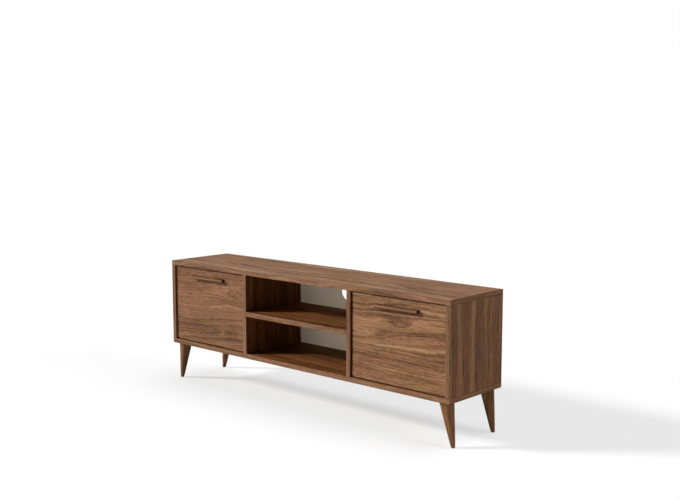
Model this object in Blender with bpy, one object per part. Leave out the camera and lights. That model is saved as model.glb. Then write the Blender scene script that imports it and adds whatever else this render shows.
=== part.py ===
"""Low media cabinet: two drop-down doors, an open centre bay with a shelf, four splayed legs.

Metres, +X to the right, +Y to the back, +Z up.  The origin is on the floor, under the
middle of the whole object.  Positions are worked out from the named sizes below.
"""

import math

import bmesh
import bpy
from mathutils import Matrix, Vector

# --- Fits ---------------------------------------------------------------------------
FIT_GAP = 0.0003  # left between two pieces that touch
CUT_OVERRUN = 0.001  # how far a cutter stands out of the surface it opens

# --- Case ---------------------------------------------------------------------------
CASE_WIDTH = 1.400
CASE_HEIGHT = 0.340
CASE_DEPTH = 0.300  # boards and back panels together
BOARD = 0.018
EDGE_ROUND = 0.0006
BAY_WIDTH = 0.514  # clear width between the dividers
LOWER_BAY_HEIGHT = 0.1455  # clear height under the middle shelf
BACK_THICKNESS = 0.003
BACK_MARGIN = 0.0015  # the back panels stop this far inside the case's outline
BACK_JOINT = 0.001  # slit between two back panels, behind a divider
CABLE_HOLE_RADIUS = 0.035

# --- Legs ---------------------------------------------------------------------------
LEG_HEIGHT = 0.152
LEG_TOP_RADIUS = 0.0253
LEG_FOOT_RADIUS = 0.0072
LEG_FOOT_ROUND = 0.004
LEG_TOP_INSET = 0.0367  # from the case's end to the centre of the leg's top
LEG_FOOT_INSET = 0.0075  # from the case's end to the centre of the foot
LEG_DEPTH_INSET = 0.0355  # from the case's front and back to the leg's centre
LEG_BOLT_RADIUS = 0.004
LEG_BOLT_IN_LEG = 0.028
INSERT_RADIUS = 0.006
INSERT_DEPTH = 0.013

# --- Doors and their pivots -----------------------------------------------------------
DOOR_THICKNESS = 0.018
DOOR_GAP = 0.0035  # all round each door
DOOR_RECESS = 0.007  # from the case's front edge back to the door's face
HINGE_RISE = 0.014  # from the door's bottom edge up to the pivot axis
PIN_RADIUS = 0.0025
PIN_IN_DOOR = 0.012
PIN_IN_BUSH = 0.009
BUSH_RADIUS = 0.004
BUSH_DEPTH = 0.0105
FLANGE_RADIUS = 0.006
FLANGE_THICKNESS = 0.0012

# --- Handles ------------------------------------------------------------------------
HANDLE_LENGTH = 0.184
HANDLE_HEIGHT = 0.014
HANDLE_PROJECTION = 0.014  # from the door's face to the rail's front
HANDLE_DROP = 0.033  # from the door's top edge down to the rail's middle
RAIL_THICKNESS = 0.0045
RAIL_ROUND = 0.0012
POST_WIDTH = 0.014
POST_HEIGHT = 0.011
POST_INSET = 0.001  # from the rail's end to the post's side
POST_ROUND = 0.001
HANDLE_SCREW_RADIUS = 0.002
HANDLE_SCREW_BITE = 0.006  # length of thread in the post
HANDLE_SCREW_HEAD_RADIUS = 0.004
HANDLE_SCREW_HEAD = 0.0022

# --- Magnetic catches -----------------------------------------------------------------
STRIKE_WIDTH = 0.036
STRIKE_HEIGHT = 0.013
STRIKE_THICKNESS = 0.0015
STRIKE_DROP = 0.001  # from the door's top edge down to the strike
CATCH_WIDTH = 0.046
CATCH_DEPTH = 0.015
CATCH_HEIGHT = 0.016
MAGNET_WIDTH = 0.030
MAGNET_HEIGHT = 0.008
MAGNET_LENGTH = 0.007
MAGNET_STAND_OUT = 0.001
MAGNET_DROP = 0.0105  # from the top panel down to the magnet's middle

# --- Flap stays -----------------------------------------------------------------------
# The arm's pivot on the door and its stud on the case are the same distance from the
# hinge axis, so the arm turns by exactly half of the door's angle.
ARM_PIVOT_RISE = 0.110  # above the hinge axis, door closed
ARM_PIVOT_STAND_OFF = 0.012  # behind the door's inner face
STUD_ELEVATION = math.radians(40.0)  # of the stud, seen from the hinge axis
DOOR_OPENING = math.radians(90.0)
STUD_RADIUS = 0.003
RIVET_RADIUS = 0.0025
RIVET_HEAD_RADIUS = 0.0043
RIVET_HEAD = 0.0014
ARM_HALF_WIDTH = 0.0075
ARM_THICKNESS = 0.0025
ARM_SPARE = 0.001  # slot left past the stud at both ends of the travel
ARM_TAIL = 0.006  # metal past the end of the slot
ARM_STAND_OFF = 0.006  # from the side panel to the arm
BRACKET_SHEET = 0.002
BRACKET_BASE = 0.018
BRACKET_HEIGHT = 0.024
BRACKET_REACH = 0.008  # ear past the arm's pivot
PLATE_WIDTH = 0.028
PLATE_HEIGHT = 0.044
PLATE_CORNER = 0.005
COLLAR_RADIUS = 0.005
KNOB_RADIUS = 0.007
KNOB_LENGTH = 0.0052
KNOB_CHAMFER = 0.0008

# --- Facets -----------------------------------------------------------------------------
LEG_FACETS = 32
ROUND_FACETS = 16
HOLE_FACETS = 48
SMOOTH_ANGLE = math.radians(35.0)

# --- Worked-out places --------------------------------------------------------------------
HANDLE_PROUD = HANDLE_PROJECTION - DOOR_RECESS
FRONT = HANDLE_PROUD / 2 - CASE_DEPTH / 2
BACK = FRONT + CASE_DEPTH
BOARD_BACK = BACK - BACK_THICKNESS - FIT_GAP
FLOOR_TOP = LEG_HEIGHT + BOARD
TOP = LEG_HEIGHT + CASE_HEIGHT
CEILING = TOP - BOARD
SIDE_INNER = CASE_WIDTH / 2 - BOARD
DIVIDER_INNER = BAY_WIDTH / 2
DIVIDER_OUTER = DIVIDER_INNER + BOARD
SHELF_BASE = FLOOR_TOP + LOWER_BAY_HEIGHT
SHELF_TOP = SHELF_BASE + BOARD
DOOR_FACE = FRONT + DOOR_RECESS
DOOR_INNER_FACE = DOOR_FACE + DOOR_THICKNESS
DOOR_BASE = FLOOR_TOP + DOOR_GAP
DOOR_TOP = CEILING - DOOR_GAP
HINGE_Y = DOOR_FACE + DOOR_THICKNESS / 2
HINGE_Z = DOOR_BASE + HINGE_RISE
HANDLE_Z = DOOR_TOP - HANDLE_DROP

X_AXIS = Vector((1.0, 0.0, 0.0))
Y_AXIS = Vector((0.0, 1.0, 0.0))
Z_AXIS = Vector((0.0, 0.0, 1.0))
SIDES = {"left": -1.0, "right": 1.0}


# --- Finishes -------------------------------------------------------------------------------
def finish(name, colour, roughness, metallic=0.0):
    """A plain Principled material."""
    made = bpy.data.materials.new(name)
    made.use_nodes = True
    shader = made.node_tree.nodes["Principled BSDF"]
    shader.inputs["Base Color"].default_value = (*colour, 1.0)
    shader.inputs["Roughness"].default_value = roughness
    shader.inputs["Metallic"].default_value = metallic
    made.diffuse_color = (*colour, 1.0)
    return made


# --- Meshes -----------------------------------------------------------------------------------
def mesh_from(builder, name, smooth=False):
    """The finished mesh of a bmesh, its faces turned outwards."""
    bmesh.ops.recalc_face_normals(builder, faces=builder.faces)
    mesh = bpy.data.meshes.new(name)
    builder.to_mesh(mesh)
    builder.free()
    if smooth:
        mesh.shade_smooth()
        mesh.set_sharp_from_angle(angle=SMOOTH_ANGLE)
    return mesh


def box_mesh(name, size):
    """A box centred on its origin."""
    builder = bmesh.new()
    bmesh.ops.create_cube(builder, size=1.0, matrix=Matrix.Diagonal((*size, 1.0)))
    return mesh_from(builder, name)


def turned_mesh(name, outline, facets=ROUND_FACETS, lean=0.0):
    """A turned shape round +Z from (height, radius) points.

    An outline that starts and ends at radius 0 is capped there; any other is a closed
    loop, which makes a tube.  lean moves each ring along X by that share of its height.
    """
    builder = bmesh.new()
    rings = []
    for height, radius in outline:
        middle = Vector((lean * height, 0.0, height))
        if radius == 0.0:
            rings.append([builder.verts.new(middle)])
            continue
        turns = [2.0 * math.pi * step / facets for step in range(facets)]
        ring = [middle + radius * Vector((math.cos(turn), math.sin(turn), 0.0)) for turn in turns]
        rings.append([builder.verts.new(point) for point in ring])
    capped = outline[0][1] == 0.0
    following = rings[1:] if capped else rings[1:] + rings[:1]
    for lower, upper in zip(rings, following):
        for step in range(facets):
            after = (step + 1) % facets
            corners = [lower[step % len(lower)], lower[after % len(lower)]]
            corners += [upper[after % len(upper)], upper[step % len(upper)]]
            builder.faces.new(list(dict.fromkeys(corners)))
    return mesh_from(builder, name, smooth=True)


def sheet_mesh(name, outline, thickness):
    """A flat outline of (y, z) points, thickened along +X from its origin."""
    builder = bmesh.new()
    face = builder.faces.new([builder.verts.new((0.0, y, z)) for y, z in outline])
    made = bmesh.ops.extrude_face_region(builder, geom=[face])["geom"]
    moved = [item for item in made if isinstance(item, bmesh.types.BMVert)]
    bmesh.ops.translate(builder, verts=moved, vec=(thickness, 0.0, 0.0))
    return mesh_from(builder, name)


def capsule_outline(start, end, radius, steps=12):
    """A round-ended bar lying along Y, from the centre of one end to the other's."""
    points = []
    for middle, first in ((end, -0.5 * math.pi), (start, 0.5 * math.pi)):
        for step in range(steps + 1):
            turn = first + math.pi * step / steps
            points.append((middle + radius * math.cos(turn), radius * math.sin(turn)))
    return points


def rounded_outline(width, height, corner, steps=5):
    """A rectangle in Y and Z, centred, with round corners."""
    points = []
    for quarter, (side, level) in enumerate(((1, 1), (-1, 1), (-1, -1), (1, -1))):
        for step in range(steps + 1):
            turn = 0.5 * math.pi * (quarter + step / steps)
            y = side * (width / 2 - corner) + corner * math.cos(turn)
            points.append((y, level * (height / 2 - corner) + corner * math.sin(turn)))
    return points


# --- Objects --------------------------------------------------------------------------------------
def put(name, mesh, place, look=None, parent=None):
    """An object at a world place, held by parent when it moves."""
    made = bpy.data.objects.new(name, mesh)
    bpy.context.scene.collection.objects.link(made)
    made.location = Vector(place)
    if parent is not None:
        made.parent = parent
        made.location -= parent.matrix_world.translation
    if look is not None:
        mesh.materials.append(look)
    return made


def joint_axis(name, place, parent=None):
    """An empty on a joint's axis."""
    made = put(name, None, place, parent=parent)
    bpy.context.view_layer.update()
    return made


def rounded(made, radius, segments=2):
    """Rounds the sharp edges of an object."""
    bevel = made.modifiers.new("rounded_edges", "BEVEL")
    bevel.width = radius
    bevel.segments = segments
    bevel.limit_method = "ANGLE"
    made.data.shade_smooth()
    made.data.set_sharp_from_angle(angle=SMOOTH_ANGLE)
    return made


def block(name, low, high, look, edge=0.0, parent=None):
    """A rectangular piece between two world corners, given in either order."""
    low, high = Vector(low), Vector(high)
    size = [abs(far - near) for near, far in zip(low, high)]
    made = put(name, box_mesh(name, size), (low + high) / 2, look, parent)
    return rounded(made, edge) if edge else made


def turned(name, outline, place, axis, look, parent=None, facets=ROUND_FACETS, lean=0.0):
    """A turned piece whose heights run from a world place along axis."""
    mesh = turned_mesh(name, outline, facets, lean)
    mesh.transform(Z_AXIS.rotation_difference(axis).to_matrix().to_4x4())
    return put(name, mesh, place, look, parent)


def cut(target, cutter):
    """Takes a cutter away from an object."""
    cutter.hide_render = True
    cutter.display_type = "WIRE"
    boolean = target.modifiers.new(cutter.name, "BOOLEAN")
    boolean.operation = "DIFFERENCE"
    boolean.solver = "EXACT"
    boolean.object = cutter


def bore(target, mouth, direction, radius, depth, facets=ROUND_FACETS):
    """Drills a round hole from its mouth into the material along direction."""
    start = Vector(mouth) - direction * CUT_OVERRUN
    length = depth + CUT_OVERRUN
    outline = [(0.0, 0.0), (0.0, radius), (length, radius), (length, 0.0)]
    name = f"{target.name}_bore_{len(target.modifiers)}"
    cut(target, turned(name, outline, start, direction, None, facets=facets))


def rod_outline(start, end, radius):
    """A plain round bar."""
    return [(start, 0.0), (start, radius), (end, radius), (end, 0.0)]


# --- Case -----------------------------------------------------------------------------------------
def make_case(wood, hardboard):
    """The seven boards and the three back panels. Returns the boards that take hardware."""
    half = CASE_WIDTH / 2
    bottom = block(
        "bottom_panel", (-half, FRONT, LEG_HEIGHT), (half, BOARD_BACK, FLOOR_TOP), wood, EDGE_ROUND
    )
    block("top_panel", (-half, FRONT, CEILING), (half, BOARD_BACK, TOP), wood, EDGE_ROUND)
    boards = {"bottom": bottom}
    low, high = FLOOR_TOP + FIT_GAP, CEILING - FIT_GAP
    for side, sign in SIDES.items():
        for kind, inner in (("side_panel", SIDE_INNER), ("divider", DIVIDER_INNER)):
            near, far = (sign * inner, FRONT, low), (sign * (inner + BOARD), BOARD_BACK, high)
            boards[side, kind] = block(f"{side}_{kind}", near, far, wood, EDGE_ROUND)
    reach = DIVIDER_INNER - FIT_GAP
    near, far = (-reach, FRONT, SHELF_BASE), (reach, BOARD_BACK, SHELF_TOP)
    block("middle_shelf", near, far, wood, EDGE_ROUND)
    make_back(hardboard)
    return boards


def make_back(hardboard):
    """Three thin panels on the boards' back edges, meeting behind the dividers."""
    joint = (DIVIDER_INNER + DIVIDER_OUTER) / 2
    end = CASE_WIDTH / 2 - BACK_MARGIN
    low, high = LEG_HEIGHT + BACK_MARGIN, TOP - BACK_MARGIN
    spans = {
        "left": (-end, -joint - BACK_JOINT / 2),
        "centre": (-joint + BACK_JOINT / 2, joint - BACK_JOINT / 2),
        "right": (joint + BACK_JOINT / 2, end),
    }
    panels = {
        place: block(
            f"{place}_back_panel", (start, BACK - BACK_THICKNESS, low), (stop, BACK, high), hardboard
        )
        for place, (start, stop) in spans.items()
    }
    hole = (0.0, BACK - BACK_THICKNESS, (SHELF_TOP + CEILING) / 2)
    through = BACK_THICKNESS + CUT_OVERRUN
    bore(panels["centre"], hole, Y_AXIS, CABLE_HOLE_RADIUS, through, HOLE_FACETS)


# --- Legs -----------------------------------------------------------------------------------------
def leg_outline():
    """Heights and radii from the centre of the foot to the centre of the leg's top."""
    flat = LEG_FOOT_RADIUS - LEG_FOOT_ROUND
    points = [(0.0, 0.0)]
    steps = 4
    for step in range(steps + 1):
        turn = 0.5 * math.pi * step / steps
        height = LEG_FOOT_ROUND * (1.0 - math.cos(turn))
        points.append((height, flat + LEG_FOOT_ROUND * math.sin(turn)))
    top = LEG_HEIGHT - FIT_GAP
    return [*points, (top, LEG_TOP_RADIUS), (top, 0.0)]


def make_legs(bottom, wood, steel, brass):
    """Four tapered legs that splay sideways, each on a bolt in a threaded insert."""
    insert = [(0.0, LEG_BOLT_RADIUS + FIT_GAP), (0.0, INSERT_RADIUS)]
    insert += [(INSERT_DEPTH, INSERT_RADIUS), (INSERT_DEPTH, LEG_BOLT_RADIUS + FIT_GAP)]
    rows = {"front": FRONT + LEG_DEPTH_INSET, "rear": BACK - LEG_DEPTH_INSET}
    for row, y in rows.items():
        for side, sign in SIDES.items():
            name = f"{row}_{side}"
            foot_x = sign * (CASE_WIDTH / 2 - LEG_FOOT_INSET)
            top_x = sign * (CASE_WIDTH / 2 - LEG_TOP_INSET)
            lean = (top_x - foot_x) / LEG_HEIGHT
            leg = turned(
                f"{name}_leg", leg_outline(), (foot_x, y, 0.0), Z_AXIS, wood, facets=LEG_FACETS, lean=lean
            )
            joint = Vector((top_x, y, LEG_HEIGHT))
            hole_radius = LEG_BOLT_RADIUS + FIT_GAP
            bore(leg, joint - Z_AXIS * FIT_GAP, -Z_AXIS, hole_radius, LEG_BOLT_IN_LEG + FIT_GAP)
            bore(bottom, joint, Z_AXIS, INSERT_RADIUS + FIT_GAP, INSERT_DEPTH + FIT_GAP)
            bolt = rod_outline(-LEG_BOLT_IN_LEG, INSERT_DEPTH - FIT_GAP, LEG_BOLT_RADIUS)
            turned(f"{name}_leg_bolt", bolt, joint, Z_AXIS, steel)
            turned(f"{name}_leg_insert", insert, joint, Z_AXIS, brass)


# --- Doors ----------------------------------------------------------------------------------------
def make_door(side, sign, wood):
    """A door panel under an empty on its hinge axis. Returns both."""
    middle = sign * (SIDE_INNER + DIVIDER_OUTER) / 2
    hinge = joint_axis(f"{side}_door_hinge", (middle, HINGE_Y, HINGE_Z))
    near = (sign * (DIVIDER_OUTER + DOOR_GAP), DOOR_FACE, DOOR_BASE)
    far = (sign * (SIDE_INNER - DOOR_GAP), DOOR_INNER_FACE, DOOR_TOP)
    return hinge, block(f"{side}_door_panel", near, far, wood, EDGE_ROUND, hinge)


def make_pivots(side, sign, hinge, door, boards, steel, nylon):
    """A pin in each lower corner of the door, turning in a flanged bush in the board beside it."""
    hole = PIN_RADIUS + FIT_GAP
    bush = [(-FLANGE_THICKNESS - FIT_GAP, hole), (-FLANGE_THICKNESS - FIT_GAP, FLANGE_RADIUS)]
    bush += [(-FIT_GAP, FLANGE_RADIUS), (-FIT_GAP, BUSH_RADIUS)]
    bush += [(BUSH_DEPTH, BUSH_RADIUS), (BUSH_DEPTH, hole)]
    corners = {
        "outer": (boards[side, "side_panel"], SIDE_INNER, sign),
        "inner": (boards[side, "divider"], DIVIDER_OUTER, -sign),
    }
    for place, (board, face, outwards) in corners.items():
        name = f"{side}_door_{place}"
        mouth = Vector((sign * face, HINGE_Y, HINGE_Z))
        into_board = X_AXIS * outwards
        bore(board, mouth, into_board, BUSH_RADIUS + FIT_GAP, BUSH_DEPTH + FIT_GAP)
        turned(f"{name}_bush", bush, mouth, into_board, nylon)
        edge = mouth - into_board * DOOR_GAP
        bore(door, edge, -into_board, hole, PIN_IN_DOOR + FIT_GAP)
        pin = rod_outline(-DOOR_GAP - PIN_IN_DOOR, PIN_IN_BUSH, PIN_RADIUS)
        turned(f"{name}_hinge_pin", pin, mouth, into_board, steel, hinge)


# --- Handles --------------------------------------------------------------------------------------
def make_handle(side, hinge, door, wood, bronze, steel):
    """A slim rail on two posts, each screwed on from behind the door."""
    middle = hinge.location.x
    front = DOOR_FACE - HANDLE_PROJECTION
    half = HANDLE_LENGTH / 2
    near = (middle - half, front, HANDLE_Z - HANDLE_HEIGHT / 2)
    far = (middle + half, front + RAIL_THICKNESS, HANDLE_Z + HANDLE_HEIGHT / 2)
    block(f"{side}_handle_rail", near, far, wood, RAIL_ROUND, hinge)
    spacing = half - POST_INSET - POST_WIDTH / 2
    grip = HANDLE_SCREW_RADIUS + FIT_GAP
    for place, x in (("left", middle - spacing), ("right", middle + spacing)):
        name = f"{side}_handle_{place}"
        near = (x - POST_WIDTH / 2, front + RAIL_THICKNESS + FIT_GAP, HANDLE_Z - POST_HEIGHT / 2)
        far = (x + POST_WIDTH / 2, DOOR_FACE - FIT_GAP, HANDLE_Z + POST_HEIGHT / 2)
        post = block(f"{name}_post", near, far, bronze, POST_ROUND, hinge)
        bore(post, (x, DOOR_FACE - FIT_GAP, HANDLE_Z), -Y_AXIS, grip, HANDLE_SCREW_BITE)
        seat = Vector((x, DOOR_INNER_FACE, HANDLE_Z))
        bore(door, seat, -Y_AXIS, grip, DOOR_THICKNESS + CUT_OVERRUN)
        tip = -DOOR_THICKNESS - HANDLE_SCREW_BITE
        head = FIT_GAP + HANDLE_SCREW_HEAD
        screw = [(tip, 0.0), (tip, HANDLE_SCREW_RADIUS), (FIT_GAP, HANDLE_SCREW_RADIUS)]
        screw += [(FIT_GAP, HANDLE_SCREW_HEAD_RADIUS), (head / 2, HANDLE_SCREW_HEAD_RADIUS)]
        screw += [(head, HANDLE_SCREW_HEAD_RADIUS / 2), (head, 0.0)]
        turned(f"{name}_screw", screw, seat, Y_AXIS, steel, hinge)


# --- Catches --------------------------------------------------------------------------------------
def make_catch(side, hinge, plastic, magnet_look, steel):
    """A magnet in a case under the top panel, and the strike that it holds on the door."""
    middle = hinge.location.x
    strike_back = DOOR_INNER_FACE + FIT_GAP + STRIKE_THICKNESS
    top = DOOR_TOP - STRIKE_DROP
    near = (middle - STRIKE_WIDTH / 2, DOOR_INNER_FACE + FIT_GAP, top - STRIKE_HEIGHT)
    block(f"{side}_strike_plate", near, (middle + STRIKE_WIDTH / 2, strike_back, top), steel, parent=hinge)
    magnet_front = strike_back + FIT_GAP
    case_front = magnet_front + MAGNET_STAND_OUT
    ceiling = CEILING - FIT_GAP
    near = (middle - CATCH_WIDTH / 2, case_front, ceiling - CATCH_HEIGHT)
    far = (middle + CATCH_WIDTH / 2, case_front + CATCH_DEPTH, ceiling)
    case = block(f"{side}_catch_case", near, far, plastic, EDGE_ROUND)
    level = CEILING - MAGNET_DROP
    low, high = level - MAGNET_HEIGHT / 2, level + MAGNET_HEIGHT / 2
    near = Vector((middle - MAGNET_WIDTH / 2, magnet_front, low))
    far = Vector((middle + MAGNET_WIDTH / 2, magnet_front + MAGNET_LENGTH, high))
    block(f"{side}_catch_magnet", near, far, magnet_look)
    slack = Vector((FIT_GAP, FIT_GAP, FIT_GAP))
    cut(case, block(f"{side}_catch_pocket", near - slack, far + slack, None))


# --- Flap stays -----------------------------------------------------------------------------------
def stay_places(sign):
    """Where the arm's pivot and the stud are, with their distance from the side panel left at 0."""
    hinge = Vector((sign * SIDE_INNER, HINGE_Y, HINGE_Z))
    back_set = DOOR_THICKNESS / 2 + ARM_PIVOT_STAND_OFF
    pivot = hinge + Vector((0.0, back_set, ARM_PIVOT_RISE))
    radius = math.hypot(back_set, ARM_PIVOT_RISE)
    turn = Vector((0.0, math.cos(STUD_ELEVATION), math.sin(STUD_ELEVATION)))
    return pivot, hinge + radius * turn, radius


def arm_travel():
    """The stud's distance from the arm's pivot with the door closed and open."""
    pivot, stud, radius = stay_places(1.0)
    closed = (stud - pivot).length
    spread = 2.0 * math.asin(closed / (2.0 * radius))
    return closed, 2.0 * radius * math.sin((spread + DOOR_OPENING) / 2)


def make_stay(side, sign, hinge, steel, bronze):
    """A slotted arm riveted to a door bracket, sliding on a braked stud on the side panel."""
    inwards = -X_AXIS * sign
    pivot, stud, _ = stay_places(sign)
    closed, opened = arm_travel()
    direction = stud - pivot
    tilt = Matrix.Rotation(math.atan2(direction.z, direction.y), 4, "X")
    arm_axis = joint_axis(f"{side}_stay_arm_pivot", pivot, hinge)

    last = opened + ARM_SPARE
    slot_radius = STUD_RADIUS + FIT_GAP
    bar = capsule_outline(0.0, last + slot_radius + ARM_TAIL - ARM_HALF_WIDTH, ARM_HALF_WIDTH)
    name = f"{side}_stay_arm"
    arm = put(name, sheet_mesh(name, bar, ARM_THICKNESS), pivot, steel, arm_axis)
    slot = capsule_outline(closed - ARM_SPARE, last, slot_radius)
    cutter_mesh = sheet_mesh(f"{name}_slot", slot, ARM_THICKNESS + 2 * CUT_OVERRUN)
    near_x = ARM_STAND_OFF if sign < 0 else -ARM_STAND_OFF - ARM_THICKNESS
    arm.data.transform(Matrix.Translation((near_x, 0.0, 0.0)) @ tilt)
    cutter_mesh.transform(Matrix.Translation((near_x - CUT_OVERRUN, 0.0, 0.0)) @ tilt)
    cut(arm, put(f"{name}_slot", cutter_mesh, pivot))
    hole = RIVET_RADIUS + FIT_GAP
    arm_face = pivot + inwards * ARM_STAND_OFF
    bore(arm, arm_face, inwards, hole, ARM_THICKNESS + CUT_OVERRUN)

    ear_near = ARM_STAND_OFF + ARM_THICKNESS + FIT_GAP
    ear_far = ear_near + BRACKET_SHEET
    base = DOOR_INNER_FACE + FIT_GAP - pivot.y
    base_end = ear_near + BRACKET_BASE
    corners = [(ear_near, base), (base_end, base), (base_end, base + BRACKET_SHEET)]
    corners += [(ear_far, base + BRACKET_SHEET), (ear_far, BRACKET_REACH), (ear_near, BRACKET_REACH)]
    bracket = make_bracket(f"{side}_stay_door_bracket", corners, inwards, pivot, steel, hinge)
    bore(bracket, pivot + inwards * ear_near, inwards, hole, BRACKET_SHEET + CUT_OVERRUN)

    under_head = ARM_STAND_OFF - FIT_GAP
    over_ear = ear_far + FIT_GAP
    rivet = [(under_head - RIVET_HEAD, 0.0), (under_head - RIVET_HEAD, RIVET_HEAD_RADIUS)]
    rivet += [(under_head, RIVET_HEAD_RADIUS), (under_head, RIVET_RADIUS), (over_ear, RIVET_RADIUS)]
    rivet += [(over_ear, RIVET_HEAD_RADIUS), (over_ear + RIVET_HEAD, RIVET_HEAD_RADIUS)]
    rivet += [(over_ear + RIVET_HEAD, 0.0)]
    turned(f"{side}_stay_rivet", rivet, pivot, inwards, steel, hinge)

    name = f"{side}_stay_side_plate"
    outline = rounded_outline(PLATE_WIDTH, PLATE_HEIGHT, PLATE_CORNER)
    plate = put(name, sheet_mesh(name, outline, BRACKET_SHEET), stud, steel)
    plate_x = FIT_GAP if sign < 0 else -FIT_GAP - BRACKET_SHEET
    plate.data.transform(Matrix.Translation((plate_x, 0.0, 0.0)))
    bore(plate, stud + inwards * FIT_GAP, inwards, slot_radius, BRACKET_SHEET + CUT_OVERRUN)

    plate_top = FIT_GAP + BRACKET_SHEET
    knob = ear_near
    brake = [(2 * FIT_GAP, 0.0), (2 * FIT_GAP, STUD_RADIUS), (plate_top + FIT_GAP, STUD_RADIUS)]
    brake += [(plate_top + FIT_GAP, COLLAR_RADIUS), (under_head, COLLAR_RADIUS)]
    brake += [(under_head, STUD_RADIUS), (knob, STUD_RADIUS), (knob, KNOB_RADIUS)]
    brake += [(knob + KNOB_LENGTH - KNOB_CHAMFER, KNOB_RADIUS)]
    brake += [(knob + KNOB_LENGTH, KNOB_RADIUS - KNOB_CHAMFER), (knob + KNOB_LENGTH, 0.0)]
    turned(f"{side}_stay_brake_screw", brake, stud, inwards, bronze)


def make_bracket(name, corners, inwards, pivot, look, parent):
    """A bent sheet: (distance from the side panel, y) corners, made BRACKET_HEIGHT tall."""
    builder = bmesh.new()
    low = [Vector((0.0, y, -BRACKET_HEIGHT / 2)) + inwards * reach for reach, y in corners]
    face = builder.faces.new([builder.verts.new(point) for point in low])
    made = bmesh.ops.extrude_face_region(builder, geom=[face])["geom"]
    moved = [item for item in made if isinstance(item, bmesh.types.BMVert)]
    bmesh.ops.translate(builder, verts=moved, vec=(0.0, 0.0, BRACKET_HEIGHT))
    return put(name, mesh_from(builder, name), pivot, look, parent)


def main():
    """Builds the whole cabinet."""
    for old in list(bpy.data.objects):
        bpy.data.objects.remove(old, do_unlink=True)

    walnut = finish("walnut_board", (0.28, 0.14, 0.07), 0.45)
    door_walnut = finish("walnut_door", (0.28, 0.14, 0.075), 0.45)
    leg_wood = finish("walnut_leg", (0.20, 0.095, 0.045), 0.4)
    rail_wood = finish("walnut_rail", (0.30, 0.15, 0.08), 0.4)
    hardboard = finish("grey_hardboard", (0.19, 0.155, 0.12), 0.8)
    bronze = finish("dark_bronze", (0.03, 0.018, 0.01), 0.35, 0.8)
    steel = finish("zinc_steel", (0.55, 0.55, 0.56), 0.35, 1.0)
    brass = finish("insert_brass", (0.72, 0.52, 0.22), 0.3, 1.0)
    nylon = finish("nylon", (0.70, 0.68, 0.62), 0.5)
    plastic = finish("brown_plastic", (0.10, 0.06, 0.04), 0.5)
    magnet = finish("magnet", (0.12, 0.12, 0.13), 0.3, 1.0)

    boards = make_case(walnut, hardboard)
    make_legs(boards["bottom"], leg_wood, steel, brass)
    for side, sign in SIDES.items():
        hinge, door = make_door(side, sign, door_walnut)
        make_pivots(side, sign, hinge, door, boards, steel, nylon)
        make_handle(side, hinge, door, rail_wood, bronze, steel)
        make_catch(side, hinge, plastic, magnet, steel)
        make_stay(side, sign, hinge, steel, bronze)


main()
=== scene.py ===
"""Looks of a low television cabinet: walnut-effect boards, two flap doors, splayed legs.

Metres, +X to the right, +Y to the back, +Z up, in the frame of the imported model. Places and
sizes come from that frame; the values named here are the ones that only the looks need.
"""

import logging
import math
from dataclasses import dataclass
from enum import Enum
from functools import cache
from typing import Iterable, Sequence

import bmesh
import bpy
from bmesh.types import BMVert, BMesh
from bpy.types import Material, Mesh, Node, NodeSocket, NodeTree, Object
from mathutils import Matrix, Vector


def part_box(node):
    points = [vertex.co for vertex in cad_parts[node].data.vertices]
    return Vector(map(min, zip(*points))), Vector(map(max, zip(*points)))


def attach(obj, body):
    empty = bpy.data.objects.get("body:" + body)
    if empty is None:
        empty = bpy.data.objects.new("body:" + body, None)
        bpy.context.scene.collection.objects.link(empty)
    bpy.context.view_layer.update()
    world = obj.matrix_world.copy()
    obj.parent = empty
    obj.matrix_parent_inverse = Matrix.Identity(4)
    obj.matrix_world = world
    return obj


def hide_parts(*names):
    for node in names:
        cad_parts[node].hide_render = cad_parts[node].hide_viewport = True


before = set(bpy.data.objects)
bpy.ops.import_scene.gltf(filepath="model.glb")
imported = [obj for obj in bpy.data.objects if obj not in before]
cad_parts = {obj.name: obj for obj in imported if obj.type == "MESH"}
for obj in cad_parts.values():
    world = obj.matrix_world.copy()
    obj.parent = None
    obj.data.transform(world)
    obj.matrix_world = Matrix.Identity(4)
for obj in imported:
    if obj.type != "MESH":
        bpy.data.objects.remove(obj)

LOG = logging.getLogger("media_cabinet")

WELD = 1e-6
FLAT_ANGLE = math.radians(0.5)
SHARP_ANGLE = math.radians(32.0)
STRAIGHT = 0.999  # a normal's largest part, above which the face is flat on an axis
MOSTLY = 0.6  # the same, above which a face belongs to that side of a board
METAL_EDGE = 0.0003  # the radius on thin metal edges
PLATE_EDGE = 0.0004  # the same on the stay's arm and side plate
TURNED_FACETS = 40  # faces round a pin, bush, rivet or stud
CABINET = "cabinet"  # the cabinet's own body: doors and stay arms are named after their side
ROUNDED_EDGE = "edge_wear"  # point attribute: 1 on a rounded edge, 0 on a flat face
FACING = "facing"  # point attribute: which way a fastener's head looks

Colour = tuple[float, float, float]
Number = float | NodeSocket
Outline = Sequence[tuple[float, float]]


class Axis(Enum):
    """The three axes of the frame, each valued as its index in a vector."""

    X = 0
    Y = 1
    Z = 2

    @property
    def vector(self) -> Vector:
        """The unit vector along this axis."""
        return Vector(tuple(float(index == self.value) for index in range(3)))


class Side(Enum):
    """The two ends of the cabinet, each valued as the sign of its X."""

    LEFT = -1.0
    RIGHT = 1.0

    @property
    def word(self) -> str:
        """The side's name, as node names start with it."""
        return self.name.lower()

    @property
    def inwards(self) -> Vector:
        """From this end towards the middle of the cabinet."""
        return Vector((-self.value, 0.0, 0.0))


class Drive(Enum):
    """The recess in a screw's head, valued as its number of arms or sides."""

    CROSS = 4
    HEX = 6
    PLAIN = 0


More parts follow.
